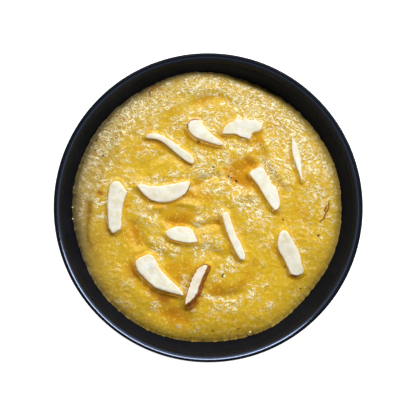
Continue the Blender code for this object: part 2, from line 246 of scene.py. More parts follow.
# The stage: the table's reach in millimetres, the window and the view in metres, and the view's tilt in
# degrees. The room's light fades upwards between two heights of its direction.
TABLE_REACH = 1500.0
TABLE_GLOW = 0.8
ROOM_COLOUR = (0.95, 0.97, 1.0, 1.0)
ROOM_FADE = (0.1, 0.8)
OVERHEAD_SHARE = 0.07
AWAY_SHARE = 0.6
WINDOW_SHARE = 1.4
WINDOW_SIZE = (1.5, 0.24)
WINDOW_PLACE = (0.19, 0.54, 0.82)
WINDOW_AIM = (0, 0, 0.045)
WINDOW_COLOUR = (1.0, 0.985, 0.96)
SENSOR_WIDTH = 36.0
VIEW_CENTRE = (-0.00039, -0.00039)
VIEW_TILT = 3.0
VIEW_SIDE = (-0.7, -0.65, 0)

# The bowl's sizes, as its solid has them.
BOWL_RADIUS = 63.0
BOWL_HEIGHT = 50.0
LIP_RADIUS = 0.9
LIP_SLOPE = math.radians(12.0)
LIP_REACH = 7.0
WALL_THICKENING = 1.9
FLOOR_HEIGHT = 4.6
BELLY_RADIUS = 58.0
FOOT_RADIUS = 30.0
FOOT_WIDTH = 4.4
FOOT_ROUNDING = 0.6
FOOT_TAPER = 0.3
FOOT_RECESS = 1.9

# How the halwa fills it, as its solid does.
FIT_GAP = 0.35
FILL_HEIGHT = 38.2
FILL_WAVES = ((0.71, 1, -1.28), (0.17, 2, -2.39), (0.52, 3, 1.8), (0.27, 4, 1.3), (0.52, 5, 0.0),
              (0.29, 6, 2.8), (0.23, 7, 3.0), (0.31, 9, -1.0))
EDGE_RISE = 3.0
EDGE_ROUNDING = 3.6
DOME_RISE = 1.3
RELIEF_FADE = 2.6
LUMP_SIZE = 8.5
LUMP_HEIGHT = 0.5
LUMP_SEED = 3.7
WANDER_SIZE = 8.0
WANDER = 2.2
WANDER_SEEDS = (1.5, 7.5)
PATH_STEPS = 6
END_FADE = 0.22
WALL_SAMPLES = 60
UNDERSIDE_HEIGHTS = (33.0, 26.0, 19.0, 12.5, 8.0, 5.6)

# How an almond slice lies in its seat, as its solid does.
SEAT_GAP = 0.3
SEAT_MARGIN = 0.3
SEAT_BLEND = 1.6
SEAT_STEEPNESS = 1.2
SEAT_LIFT = 0.25
SEAT_REACH = 0.36
SEAT_BREADTH = 0.7
MOST_TILT = 0.2
SEAT_STEPS = 3

# A fold stands up on the left of its path, where one spoonful overlaps the next.
Fold = namedtuple("Fold", "path rise width reach groove")
FOLDS = (
    Fold(((-31, 41), (-38, 31), (-42, 22), (-43.5, 16), (-47, 8), (-49.7, 0), (-50.5, -7), (-49, -15),
          (-45, -21)), 0.9, 1.4, 7, 0.5),
    Fold(((-2, -29), (0.5, -34.5), (5, -36.6), (10, -36), (15, -32.7), (18, -27.7), (19, -22.5), (17, -17)),
         0.9, 2.8, 12, 0.5),
    Fold(((-28.5, -2), (-27.8, -9), (-25.5, -15.5), (-20.5, -19.5), (-13, -21.5)),
         0.8, 2.2, 8, 0.5),
    Fold(((-4, 15.5), (-7.5, 18.8), (-12.8, 21), (-17.8, 21.3), (-22.5, 20), (-27, 16), (-29, 10)),
         0.6, 2.0, 8, 0.4),
    Fold(((8.6, 49), (15.8, 47), (22.5, 42.5), (28, 36), (32.4, 31), (36, 24)),
         0.6, 1.5, 6, 0.2),
    Fold(((17, 29), (21.5, 23.5), (22.5, 18.5), (26, 14), (29.5, 9.5), (31, 4)),
         0.8, 1.4, 6, 0.4),
    Fold(((-9, -24), (-5, -20), (-1, -18.2), (3.5, -18.8), (7, -21.5)),
         0.7, 2.2, 7, 0.4),
)

# A ridge rises evenly on both sides of its path, and a hollow has a negative rise.
Ridge = namedtuple("Ridge", "path rise width")
RIDGES = (
    Ridge(((-27, -2), (-20.7, 1.4), (-14.9, 2.2), (-7.4, 1), (0, -1)), 1.0, 1.7),
    Ridge(((8, 0.5), (13.5, 4.7), (19.5, 7)), 0.9, 2.6),
    Ridge(((-24, 42), (-31, 34), (-36, 25), (-38, 17)), 0.6, 1.8),
    Ridge(((-12, 49), (0, 50.5), (10, 49.5)), 0.6, 2.2),
    Ridge(((41, 18), (44, 6), (43, -8)), 0.6, 3.0),
    Ridge(((-40, -24), (-31, -34), (-20, -42)), 0.6, 3.4),
    Ridge(((18, 20.5), (13.5, 14), (10.5, 8)), -1.8, 4.2),
    Ridge(((-9, 8), (-1, 10.8), (7, 12)), -1.1, 2.2),
    Ridge(((-23, -4.5), (-13.6, -6.1), (-5.3, -7.8), (3, -8.2), (7, -6.5)), -1.1, 1.8),
    Ridge(((-26, -38), (-15.7, -42.7), (-6, -43.5)), -0.8, 4.0),
    Ridge(((-13, 40.4), (-7.4, 42.9), (-1.2, 45), (6, 45.2), (12, 42.5), (16, 39.5)), -0.9, 2.0),
    Ridge(((-31.5, -4), (-31, -11), (-28.5, -17.5)), -0.9, 2.2),
)

# A slice's stations give its share of the length, and how far its two edges lie left of its axis.
# Its underside lies shifted by the lean, to the left of its heading, so that one cut side shows.
# Brown skin is left along the given stretches of its edge, counted once round from the start's left corner.
Slice = namedtuple("Slice", "centre heading length thickness lean stations skin")
SLICES = (
    Slice((-15.6, 24.3), -29, 21.6, 1.5, -0.2,
          ((0, 1.0, -1.0), (0.2, 2.9, 0.6), (0.4, 3.0, 0.4), (0.7, 2.3, -0.9), (0.9, 1.8, -1.4),
           (1, 0.6, -1.0)), ()),
    Slice((-0.9, 30.8), -34, 16.6, 1.5, -0.7,
          ((0, 0.8, -1.8), (0.15, 2.9, -3.5), (0.38, 1.8, -3.9), (0.65, 0.9, -2.8), (0.9, 0.7, -1.5),
           (1, 0.3, -0.4)), ((-0.04, 0.10, 0.5), (0.88, 1.0, 0.35))),
    Slice((13.9, 32.9), 12, 16.5, 1.3, -0.3,
          ((0, 0.2, -0.9), (0.13, 2.6, -1.3), (0.32, 3.6, -2.0), (0.42, 4.5, -3.4), (0.54, 3.4, -4.3),
           (0.64, 4.0, -5.1), (0.74, 2.7, -2.9), (0.9, 2.0, -2.6), (1, 0.2, -1.6)), ()),
    Slice((36.8, 20.3), -79, 17.9, 1.2, 0.0,
          ((0, 0.3, -0.3), (0.2, 1.1, -1.2), (0.4, 1.5, -1.5), (0.6, 1.4, -1.2), (0.8, 0.9, -0.6),
           (1, 0.25, -0.2)), ()),
    Slice((24.3, 7.6), -60.5, 18.7, 1.4, -0.3,
          ((0, 2.2, -3.0), (0.2, 3.0, -2.8), (0.4, 2.5, -2.5), (0.58, 3.5, -2.4), (0.8, 2.6, -2.2),
           (0.93, 1.5, -1.9), (1, -0.4, -1.6)), ((0.42, 0.52, 0.35),)),
    Slice((-38.0, 0.1), -90, 21.0, 1.5, 0.2,
          ((0, 1.2, -0.9), (0.08, 2.6, -2.4), (0.22, 4.3, -3.1), (0.4, 3.0, -3.4), (0.68, 2.2, -3.3),
           (0.88, 2.2, -3.0), (0.94, 1.5, -2.4), (1, -0.6, -1.7)), ()),
    Slice((-18.6, 9.3), 3, 21.6, 1.6, -0.5,
          ((0, 0.5, 0.0), (0.12, 0.7, -3.4), (0.28, -0.3, -6.1), (0.5, -0.2, -7.2), (0.72, 0.3, -6.2),
           (0.9, 0.8, -4.2), (1, 0.9, -1.0)), ((0.46, 0.60, 0.1),)),
    Slice((-11.0, -12.1), -16, 13.6, 1.3, -0.4,
          ((0, 0.6, -0.4), (0.15, 2.7, -1.8), (0.4, 4.2, -2.2), (0.65, 4.5, -1.9), (0.85, 2.9, -1.2),
           (1, 0.5, -0.1)), ((0.32, 0.46, 0.25),)),
    Slice((10.7, -11.7), -69, 21.0, 1.4, -0.3,
          ((0, 0.6, -1.0), (0.08, 1.1, -1.8), (0.3, 0.9, -2.3), (0.5, 0.8, -2.3), (0.75, 1.4, -2.0),
           (0.93, 1.3, -1.5), (1, 0.4, -0.5)), ()),
    Slice((33.8, -18.8), -70, 19.4, 1.5, -0.3,
          ((0, 1.0, -0.6), (0.08, 2.1, -2.1), (0.22, 2.5, -3.6), (0.37, 3.1, -4.0), (0.58, 3.6, -3.3),
           (0.8, 3.0, -2.9), (0.93, 3.0, -2.6), (1, 1.8, -0.8)), ((0.46, 0.56, 0.3),)),
    Slice((-19.2, -28.0), -41.5, 23.4, 1.7, -0.7,
          ((0, -0.6, -3.0), (0.07, 2.7, -4.2), (0.17, 3.7, -5.0), (0.38, 1.9, -5.4), (0.58, 1.3, -5.1),
           (0.75, 1.1, -3.3), (0.9, 0.9, -1.7), (1, 0.4, -0.4)), ()),
    # Slice 12's broad brown on its lower right is partly its skin and partly painted shadow.
    Slice((-5.2, -31.8), -116, 18.9, 2.2, 1.4,
          ((0, 1.1, -0.6), (0.15, 1.5, -2.6), (0.32, 1.5, -2.9), (0.5, 1.9, -2.8), (0.65, 2.3, -2.4),
           (0.88, 1.2, -1.6), (1, -0.1, -0.6)), ((-0.05, 1.05, 0.5), (0.14, 0.5, 0.55))),
)

# Soft round patches of the paste as (x, y, radius, strength): where it is rough and glitters, with painted
# highlights on its crests, where it is amber, as ghee and painted shade, and where painted brown shadow
# lies. A negative strength leaves a smoother place, or a brighter one, painted lighter on the ridges.
GLITTER = (
    (-34, 41, 5, 0.4), (-42, 30, 5, 0.3), (-20, 47, 6, 0.25), (-7, 52, 4, 0.4), (7, 52, 4, 0.5),
    (11, 50, 3, 0.5), (14, 42, 4.5, 0.7), (20, 41, 4, 0.7), (22, 46, 4, 0.6), (28, 41, 5, 0.8),
    (31, 37, 5, 0.7), (37, 31, 6, 0.6), (40, 20, 7, 0.5), (-12, 36, 3, 0.5), (0, 38, 4, 0.5),
    (2, 34.5, 3.5, 0.5), (9, 27, 3.5, 0.5), (16, 26.5, 3, 0.5), (28, 29, 3.5, 0.6), (31, 24, 3, 0.5),
    (-3, 21, 2.5, 0.4), (6.5, 20, 3, 0.4), (-1, 15.5, 3, 0.4), (9.5, 13, 2.5, 0.5), (24.5, 17, 2.6, 0.9),
    (27, 12, 2.6, 0.9), (-22, 12, 3, 0.4), (-13.5, 14, 3, 0.4), (3, 6.7, 3, 0.8), (12, 6.8, 3, 0.9),
    (15, 3, 3.5, 1.0), (18, 0, 3.2, 0.8), (-3, -1, 2.5, 0.5), (5, -1, 2.5, 0.6), (-23, -4.5, 2.8, 0.7),
    (-21, -15, 3.2, 1.0), (-14.6, -17, 2.8, 0.9), (-0.5, -15.5, 3, 0.8), (3.5, -14, 2.8, 0.9),
    (-4.5, -6.4, 2.5, 0.6), (9.6, -23, 3, 0.8), (-32, -31, 2.6, 0.6), (-21, -40, 2.8, 0.7),
    (-10.6, -32.6, 2.2, 1.0), (5, -38.5, 4, 0.35), (18, -34, 3, 0.35), (20, -4, 3.5, 0.6),
    (24.7, -14, 3, 0.5), (46, -3, 9, 0.3), (38, -18, 7, 0.25), (-45, 2, 6, 0.4), (-40, -7, 5, 0.4),
    (-36, -41, 4, 0.5), (40, -37, 4, 0.4), (-31, 8, 4, 0.3), (-27, 16.5, 4, -0.5), (-20, 17.5, 4, -0.5),
    (-13, 18.5, 3.5, -0.4), (-12, 40, 2.5, -0.5), (-3, 43.5, 3, -0.6), (4, 44, 2.5, -0.6),
    (11, 39, 3, -0.4), (-17, 37, 3.5, -0.4), (-33, 25, 5, -0.3), (-5.5, -18, 2.5, 0.5), (9, -26, 2, 0.6),
    (2.7, -29.2, 1.8, 0.7), (5.7, -25.5, 1.5, 0.6), (22.4, -22.9, 1.5, 0.6), (23.5, -15.5, 2.5, 0.7),
    (18.5, -34.5, 2.5, 0.5), (23.1, -31.5, 1.5, 0.6), (-0.3, -36.3, 1.6, 0.7), (4.2, -38.5, 2, 0.7),
    (7.9, -40.7, 2, 0.8), (11.2, -39.6, 1.5, 0.6), (18, -37.8, 1.8, 0.5), (25.3, -40.4, 2, 0.6),
    (-6.2, -42.4, 1.5, 0.7), (-9.2, -27.8, 1.8, 0.7), (-12.1, -48.7, 1.2, 0.7), (-4.9, -50.7, 1.2, 0.7),
    (4.2, -46.3, 1.4, 0.6), (21.2, -44.8, 1.4, 0.6), (10.5, -42.6, 1.4, 0.6), (3.4, -4, 2.2, 0.5),
    (16.8, -9.2, 2, 0.5), (0.1, -10.7, 2, 0.4), (33.9, 16, 1.6, 0.6), (33.6, 10.5, 1.6, 0.6),
    (45.6, 7, 3, 0.7), (47.7, 19.8, 3, 0.7), (-3, 49.5, 4, 0.3), (6, 48.5, 4, 0.3), (9.5, 4.9, 2, 0.6),
    (-2.2, 6.4, 2, 0.5), (4, 14.3, 1.5, 0.6), (20.5, 25.5, 1.6, 0.7),
)
AMBER_AND_SHADE = (
    (-5.5, 6, 3, 1.0), (-8.5, 4.5, 2.5, 0.6), (-1, 5, 2.5, 0.4), (15, 13, 5.5, 1.0), (16, 6.5, 3, 0.6),
    (-3, 8.6, 2.5, 0.6), (9, 15, 4, 0.5), (11, 9.5, 3.5, 0.6), (18, 18, 4, 0.7), (17, 8, 3.5, 0.5),
    (20, 27.5, 3.5, 0.9), (22, 24, 3, 0.6), (-30, -13.5, 3.5, 0.7), (-30, -8, 3, 0.5),
    (-28, -17.5, 3, 0.6), (-14.6, -4.4, 4, 0.8), (-9, -4, 3.5, 0.6), (-19, -1, 3, 0.4), (3, -8.4, 3, 0.8),
    (7, -6, 3, 0.6), (-29.5, -27.5, 3, 0.9), (-31, -23.5, 2.5, 0.7), (-26.5, -31.5, 2.5, 0.8),
    (-17.6, -36.6, 3, 1.0), (-22, -35, 2.5, 0.7), (-14.6, -44, 4.5, 1.0), (-10, -46, 3.5, 0.6),
    (-19, -43, 3, 0.5), (1.5, -33.5, 2.2, 0.8), (5.5, -34.8, 2.2, 0.9), (9.5, -34, 2.2, 0.8),
    (13.5, -31.5, 2, 0.7), (17, -28, 2, 0.6), (18.5, -23, 2.2, 0.5), (-12.4, -29, 3, 0.8),
    (-15, -24.5, 3, 0.7), (-9, -24, 3, 0.6), (-19.4, -20.8, 2.5, -0.6), (-5.3, -20, 2.5, -0.5),
    (-44.8, 6, 2, 1.2), (-48.9, 1.5, 1.6, 1.0), (-49.0, -2, 1.6, 1.0), (-49.4, -5.5, 1.6, 0.8),
    (6, 32, 4, 0.3), (-4, 26, 4, 0.4), (38, -2, 7, 0.25), (-46, -12, 5, 0.3), (28, -16, 5, 0.3),
    (-3, 43, 4, 0.15), (-33.6, 0.8, 1.6, 0.8), (-33.6, -3, 1.6, 0.6), (-32.3, -25, 3, 0.5),
    (-52, -14.5, 1.5, 0.7), (-49.6, -16.5, 1.5, 0.7), (-46, -20, 1.8, 0.7), (3.5, -33.5, 3.5, 0.4),
    (-41.3, -9.5, 2.5, 0.4), (-33.3, -10.5, 3, 0.4), (1, 9.8, 1.5, 0.5), (4.5, 10.2, 1.5, 0.5),
    (-24.5, 34.3, 2, 0.5), (-1, 44.8, 3, 0.4), (5, 45, 2.5, 0.4), (6, 39.8, 2.5, 0.4),
    (-15, 39.5, 2.5, 0.4), (-28.5, 25, 2.5, 0.4), (-19, 23.5, 2.5, 0.4), (0.5, 27.5, 2.5, 0.4),
    (-8.5, 27.5, 2, 0.5), (17.5, 10, 3, 0.4), (-27, -1, 2.2, -0.6), (-27, -6, 2.2, -0.7),
    (-26.7, -11, 2.2, -0.7), (-26.4, 3, 2, -0.4), (2, -41.5, 4, -0.35), (-2.5, -45.5, 3, -0.3),
    (21.5, 28.5, 2.5, 0.6), (12, 20, 3.5, 0.4), (0, 4, 3, 0.5), (-4, 15, 3, -0.4), (-26, 21, 3, -0.3),
    (-29.4, 11.6, 2.5, -0.3),
)
# Patches of painted shadow in brown, beside the slices, in creases and in the deepest hollows.
SHADOW_PATCHES = (
    (-7.2, -41.0, 1.9, 1.0), (-5.3, -38.9, 1.6, 1.0), (-3.4, -35.9, 1.2, 0.9), (-22.5, -34.8, 1.8, 0.6),
    (-19.2, -36.8, 2.0, 0.75), (-17.0, -38.0, 1.6, 0.6), (-8.9, -33, 0.9, 0.5), (-8.0, -30, 0.9, 0.5),
    (-6.6, -27.8, 0.9, 0.5), (-4.5, -25.3, 0.9, 0.5), (-2.2, -23.6, 0.9, 0.5), (-2.0, -32.5, 1.2, 0.7),
    (-1.2, -29.8, 1.0, 0.6), (-11, -29.5, 1.5, 0.3), (-14.5, -44.0, 3.5, 0.12), (-29.8, -27.0, 1.8, 0.35),
    (-44.9, 6.2, 0.8, 0.9), (-43.9, 5.5, 0.7, 0.9), (-49.0, 1.0, 1.0, 0.4), (-48.9, -1.5, 1.0, 0.4),
    (-49.0, -4.0, 1.0, 0.4), (-6.2, 4.6, 1.5, 0.25),
)


def catmull_rom(points, steps, closed):
    """Points on the smooth curve through the given ones, with so many steps in each span."""
    known = np.array(points, float)
    count = len(known)
    if closed:
        spans = [known[[(i - 1) % count, i, (i + 1) % count, (i + 2) % count]] for i in range(count)]
    else:
        ends = np.vstack([2 * known[0] - known[1], known, 2 * known[-1] - known[-2]])
        spans = [ends[i:i + 4] for i in range(count - 1)]
    curve = []
    for before, start, end, after in spans:
        for t in np.arange(steps) / steps:
            curve.append(0.5 * (2 * start + (end - before) * t
                                + (2 * before - 5 * start + 4 * end - after) * t ** 2
                                + (3 * start - before - 3 * end + after) * t ** 3))
    if not closed:
        curve.append(known[-1])
    return np.array(curve)


def smooth_step(value):
    t = np.clip(value, 0.0, 1.0)
    return t * t * (3 - 2 * t)


def noise_at(points, size, seed):
    """Smooth noise between about -1 and 1 at each place, with waves of the given size."""
    scaled = np.column_stack([points / size, np.full(len(points), seed)])
    return np.array([noise.noise(Vector(place)) for place in scaled])


def inner_wall(points):
    """The inside of the bowl from the lip to the middle of its floor, as (radius, height)."""
    lip = np.array([BOWL_RADIUS - LIP_RADIUS, BOWL_HEIGHT - LIP_RADIUS])
    along = np.array([math.cos(LIP_SLOPE), math.sin(LIP_SLOPE)])
    start = lip + LIP_RADIUS * np.array([-along[1], along[0]])
    handles = (start, start - LIP_REACH * along, (BELLY_RADIUS, FLOOR_HEIGHT), (0.0, FLOOR_HEIGHT))
    t = np.linspace(0, 1, points)[:, None]
    weights = ((1 - t) ** 3, 3 * (1 - t) ** 2 * t, 3 * (1 - t) * t ** 2, t ** 3)
    return sum(w * np.array(h) for w, h in zip(weights, handles))


def offset_outwards(profile, distance):
    """The same profile moved away from the bowl's hollow. A negative distance moves it inwards."""
    tangent = np.gradient(profile, axis=0)
    tangent /= np.linalg.norm(tangent, axis=1)[:, None]
    outwards = np.column_stack([-tangent[:, 1], tangent[:, 0]])
    return profile + outwards * np.asarray(distance).reshape(-1, 1)


def bowl_profile(wall_points, lip_points):
    """The half section of the bowl, from the middle of its floor over the lip to the middle underneath."""
    inner = inner_wall(2 * wall_points - 1)
    share = np.linspace(0, 1, len(inner))
    outer = offset_outwards(inner, 2 * LIP_RADIUS + WALL_THICKENING * share)
    outer = outer[outer[:, 0] > FOOT_RADIUS + FOOT_ROUNDING]
    turn = np.linspace(LIP_SLOPE + math.pi / 2, LIP_SLOPE - math.pi / 2, lip_points)[1:-1]
    lip = np.column_stack([BOWL_RADIUS - LIP_RADIUS + LIP_RADIUS * np.cos(turn),
                           BOWL_HEIGHT - LIP_RADIUS + LIP_RADIUS * np.sin(turn)])
    inside_foot = FOOT_RADIUS - FOOT_WIDTH
    foot = [(FOOT_RADIUS, outer[-1][1] - FOOT_ROUNDING), (FOOT_RADIUS - FOOT_TAPER, FOOT_ROUNDING),
            (FOOT_RADIUS - FOOT_TAPER - FOOT_ROUNDING, 0.0), (inside_foot + FOOT_ROUNDING, 0.0),
            (inside_foot, FOOT_ROUNDING), (inside_foot - FOOT_ROUNDING, FOOT_RECESS), (0.0, FOOT_RECESS)]
    return np.vstack([inner[::-2], lip, outer[::2], foot])


def nearest_on_path(spots, path):
    """For each spot: its distance from the path, positive on the left, and how far along it is."""
    curve = catmull_rom(path, PATH_STEPS, closed=False)
    best = np.full(len(spots), np.inf)
    side = np.ones(len(spots))
    along = np.zeros(len(spots))
    steps = np.diff(curve, axis=0)
    for index, (start, step) in enumerate(zip(curve, steps)):
        away = spots - start
        share = np.clip(away @ step / (step @ step), 0, 1)
        gap = away - share[:, None] * step
        distance = np.hypot(gap[:, 0], gap[:, 1])
        nearer = distance < best
        best[nearer] = distance[nearer]
        side[nearer] = np.sign(step[0] * gap[nearer, 1] - step[1] * gap[nearer, 0])
        along[nearer] = (index + share[nearer]) / len(steps)
    return best * side, along


def fade_at_ends(along):
    return smooth_step(np.minimum(along, 1 - along) / END_FADE)


def wandering(spots):
    """The same places moved a little, so that what follows a path wavers."""
    return spots + WANDER * np.column_stack([noise_at(spots, WANDER_SIZE, seed) for seed in WANDER_SEEDS])


def creases(spots):
    """How deep each spot lies in the crease of a sharp fold, and how near it is outside the long fold."""
    spots = wandering(spots)
    crease = np.zeros(len(spots))
    for fold in (fold for fold in FOLDS if fold.width < SHARP_WIDTH):
        distance, along = nearest_on_path(spots, fold.path)
        line = np.exp(-((distance + CREASE_WIDTH) / CREASE_WIDTH) ** 2)
        crease = np.maximum(crease, line * fade_at_ends(along))
    distance, along = nearest_on_path(spots, FOLDS[0].path)
    beside = smooth_step(-distance / BESIDE_START) * np.exp(-(distance / BESIDE_REACH) ** 2)
    return crease, beside * fade_at_ends(along)


def relief(spots):
    """The spoon's folds, ridges and hollows, and the soft lumps between them."""
    height = LUMP_HEIGHT * noise_at(spots, LUMP_SIZE, LUMP_SEED)
    spots = wandering(spots)
    for fold in FOLDS:
        distance, along = nearest_on_path(spots, fold.path)
        lifted = fold.rise * smooth_step(distance / (2 * fold.width)) * np.exp(-(distance / fold.reach) ** 2)
        crease = fold.groove * np.exp(-(distance / fold.width) ** 2)
        height += (lifted - crease) * fade_at_ends(along)
    for ridge in RIDGES:
        distance, along = nearest_on_path(spots, ridge.path)
        height += ridge.rise * np.exp(-(distance / ridge.width) ** 2) * fade_at_ends(along)
    return height


def fill_line(angle):
    """The height at which the halwa meets the wall, which wavers as it goes round."""
    return FILL_HEIGHT + sum(height * np.sin(count * angle + start) for height, count, start in FILL_WAVES)


def wall_radius(height, gap):
    """The radius that lies a gap inside the bowl's wall at a height."""
    wall = offset_outwards(inner_wall(WALL_SAMPLES), -gap)[::-1]
    return np.interp(height, wall[:, 1], wall[:, 0])


def soft_surface(spots):
    """The height of the halwa before the almonds are pressed into it."""
    radius = np.hypot(spots[:, 0], spots[:, 1])
    angle = np.arctan2(spots[:, 1], spots[:, 0])
    edge = fill_line(angle)
    limit = wall_radius(edge, FIT_GAP)
    share = radius / limit
    inset = np.maximum(limit - radius, 0.0)
    base = FILL_HEIGHT + (edge - FILL_HEIGHT) * share ** 3
    rise = EDGE_RISE * (1 - np.exp(-inset / EDGE_ROUNDING)) + DOME_RISE * (1 - share ** 2)
    return base + rise + relief(spots) * (1 - np.exp(-inset / RELIEF_FADE))


def axes_of(piece):
    heading = math.radians(piece.heading)
    along = np.array([math.cos(heading), math.sin(heading)])
    return along, np.array([-along[1], along[0]])


def half_width(piece):
    return max(max(abs(left), abs(right)) for _, left, right in piece.stations)


def seat_plane(piece):
    """The height at a slice's centre, and the slope of the flat seat that it presses into the halwa."""
    along, left = axes_of(piece)
    centre = np.array(piece.centre, float)
    reach, breadth = SEAT_REACH * piece.length, SEAT_BREADTH * half_width(piece)
    ends = np.array([centre + along * reach, centre - along * reach,
                     centre + left * breadth, centre - left * breadth, centre])
    front, back, port, starboard, middle = soft_surface(ends)
    pitch = np.clip((front - back) / (2 * reach), -MOST_TILT, MOST_TILT)
    roll = np.clip((port - starboard) / (2 * breadth), -MOST_TILT, MOST_TILT)
    height = SEAT_LIFT + (middle + (front + back + port + starboard) / 4) / 2
    return height, pitch * along + roll * left


def slice_outline(piece, steps):
    """The slice seen from above, as points round its edge."""
    along, left = axes_of(piece)
    centre = np.array(piece.centre, float)
    corners = [(share, near) for share, near, _ in piece.stations]
    corners += [(share, far) for share, _, far in reversed(piece.stations)]
    places = [centre + along * (share - 0.5) * piece.length + left * aside for share, aside in corners]
    return catmull_rom(places, steps, closed=True)


def underside_outline(piece, steps):
    _, left = axes_of(piece)
    return slice_outline(piece, steps) + piece.lean * left


def grown(outline, distance):
    """A clockwise outline moved outwards by a distance, or inwards by a negative one."""
    tangent = np.roll(outline, -1, axis=0) - np.roll(outline, 1, axis=0)
    tangent /= np.linalg.norm(tangent, axis=1)[:, None]
    return outline + distance * np.column_stack([-tangent[:, 1], tangent[:, 0]])


def distance_outside(spots, outline):
    """How far each spot lies outside a closed outline, negative inside, and the share of the way round."""
    best = np.full(len(spots), np.inf)
    around = np.zeros(len(spots))
    crossings = np.zeros(len(spots), int)
    following = np.roll(outline, -1, axis=0)
    for index, (start, end) in enumerate(zip(outline, following)):
        step = end - start
        away = spots - start
        share = np.clip(away @ step / (step @ step), 0, 1)
        gap = away - share[:, None] * step
        distance = np.hypot(gap[:, 0], gap[:, 1])
        nearer = distance < best
        best[nearer] = distance[nearer]
        around[nearer] = (index + share[nearer]) / len(outline)
        spans = (start[1] > spots[:, 1]) != (end[1] > spots[:, 1])
        meets = start[0] + (spots[:, 1] - start[1]) * step[0] / (step[1] or 1.0)
        crossings += spans & (spots[:, 0] < meets)
    return np.where(crossings % 2 == 1, -best, best), around


def nearest_slice(spots):
    """How far each spot is from the underside of the nearest slice."""
    outlines = [underside_outline(piece, SEAT_STEPS) for piece in SLICES]
    return np.min([distance_outside(spots, outline)[0] for outline in outlines], axis=0)


def halwa_surface(spots, seat_rise):
    """The height of the halwa with a seat under each slice, and each spot's distance from the nearest."""
    height = soft_surface(spots)
    ceiling = np.full(len(spots), np.inf)
    clearance = np.full(len(spots), np.inf)
    for piece in SLICES:
        level, slope = seat_plane(piece)
        plane = level + seat_rise + (spots - np.array(piece.centre)) @ slope
        outside, _ = distance_outside(spots, underside_outline(piece, SEAT_STEPS))
        clearance = np.minimum(clearance, outside)
        beyond = outside - SEAT_MARGIN
        pressed = smooth_step(1 - beyond / SEAT_BLEND)
        height += (plane - height) * pressed
        ceiling = np.minimum(ceiling, plane + SEAT_STEEPNESS * np.maximum(beyond, 0.0))
    return np.minimum(height, ceiling), clearance


def hexagon_to_disc(x, y):
    """A place in a hexagon of size 1, as a share of the radius and an angle, evenly spread round a disc."""
    sector = np.floor(np.arctan2(y, x) / (math.pi / 3))
    middle = (sector + 0.5) * math.pi / 3
    depth = x * np.cos(middle) + y * np.sin(middle)
    across = -x * np.sin(middle) + y * np.cos(middle)
    share = depth / math.cos(math.pi / 6)
    turn = np.divide(across, share, out=np.zeros_like(x), where=share > 1e-9)
    return share, middle + turn * math.pi / 3


def patch_strength(spots, patches):
    """How strongly soft round patches cover each spot. Those of negative strength take cover away."""
    missed = np.ones(len(spots))
    for x, y, radius, strength in patches:
        away = np.linalg.norm(spots - (x, y), axis=1)
        missed *= 1 - strength * np.exp(-(away / radius) ** 2)
    return 1 - missed


def facing_window(spots, level):
    """How much the relief falls towards the window at each spot, from 0 to 1."""
    fall = level - relief(spots + (0.0, FACING_STEP))
    return smooth_step(fall / (FACING_SLOPE * FACING_STEP))


def behind_slices(spots, clearance):
    """Where the nearest slice lies on the window's side of a spot, from 0 to 1."""
    shifted = spots + BAND_SHIFT * np.array(TO_WINDOW)
    return smooth_step((clearance - nearest_slice(shifted)) / BAND_SHIFT)


def glitter_and_amber_shade(spots, band, inset):
    """How much each spot glitters, and how amber it is, as ghee and painted shade; negative where painted
    brighter.
    """
    level = relief(spots)
    facing = facing_window(spots, level)
    amber_and_shade = patch_strength(spots, AMBER_AND_SHADE)
    upper = smooth_step((spots[:, 1] - UPPER_START) / UPPER_SPAN)
    rough = patch_strength(spots, GLITTER)
    glitter = LEAST_GLITTER + UPPER_GLITTER * upper + rough - AMBER_CALM * amber_and_shade + FACING_GLITTER * facing
    glitter = np.clip(glitter, 0, 1)
    hollow = smooth_step((HOLLOW_LEVEL - level) / HOLLOW_SPAN)
    ridge = smooth_step((level - RIDGE_LEVEL) / RIDGE_SPAN)
    relief_amber = RELIEF_AMBER * hollow - RELIEF_AMBER * ridge
    amber_and_shade = AMBER_SHARE * amber_and_shade + relief_amber - GLITTER_PALING * glitter + LEAST_AMBER
    amber_and_shade = np.clip(amber_and_shade, BRIGHTEST, 1)
    # Painted light: slopes that face the window are paler, and the painted contact shadow beside the slices
    # is amber.
    amber_and_shade *= 1 - FACING_PALING * facing
    amber_and_shade += band * (1 - amber_and_shade)
    glitter *= (1 - np.minimum(band, 1)) * smooth_step(inset / GLITTER_INSET)
    return glitter, amber_and_shade


def wrinkles(settings, spots, glitter, amber_and_shade):
    """The wrinkles and the grain of the surface in millimetres, rougher where it glitters."""
    warp = WARP * np.column_stack([noise_at(spots, WARP_SIZE, seed) for seed in WARP_SEEDS])
    stretched = (spots + warp) / np.array([WRINKLE_STRETCH, 1.0])
    waves = 1 - 2 * np.abs(noise_at(stretched, *WRINKLE_NOISE))
    waves *= settings.wrinkle / MM * (CALM_WRINKLE + (1 - CALM_WRINKLE) * glitter)
    grains = noise_at(stretched, *GRAIN_NOISE)
    grains *= settings.grain / MM * (CALM_GRAIN + (1 - CALM_GRAIN) * glitter)
    return (waves + grains) * (1 - POOL_SMOOTHING * np.clip(amber_and_shade, 0, 1))


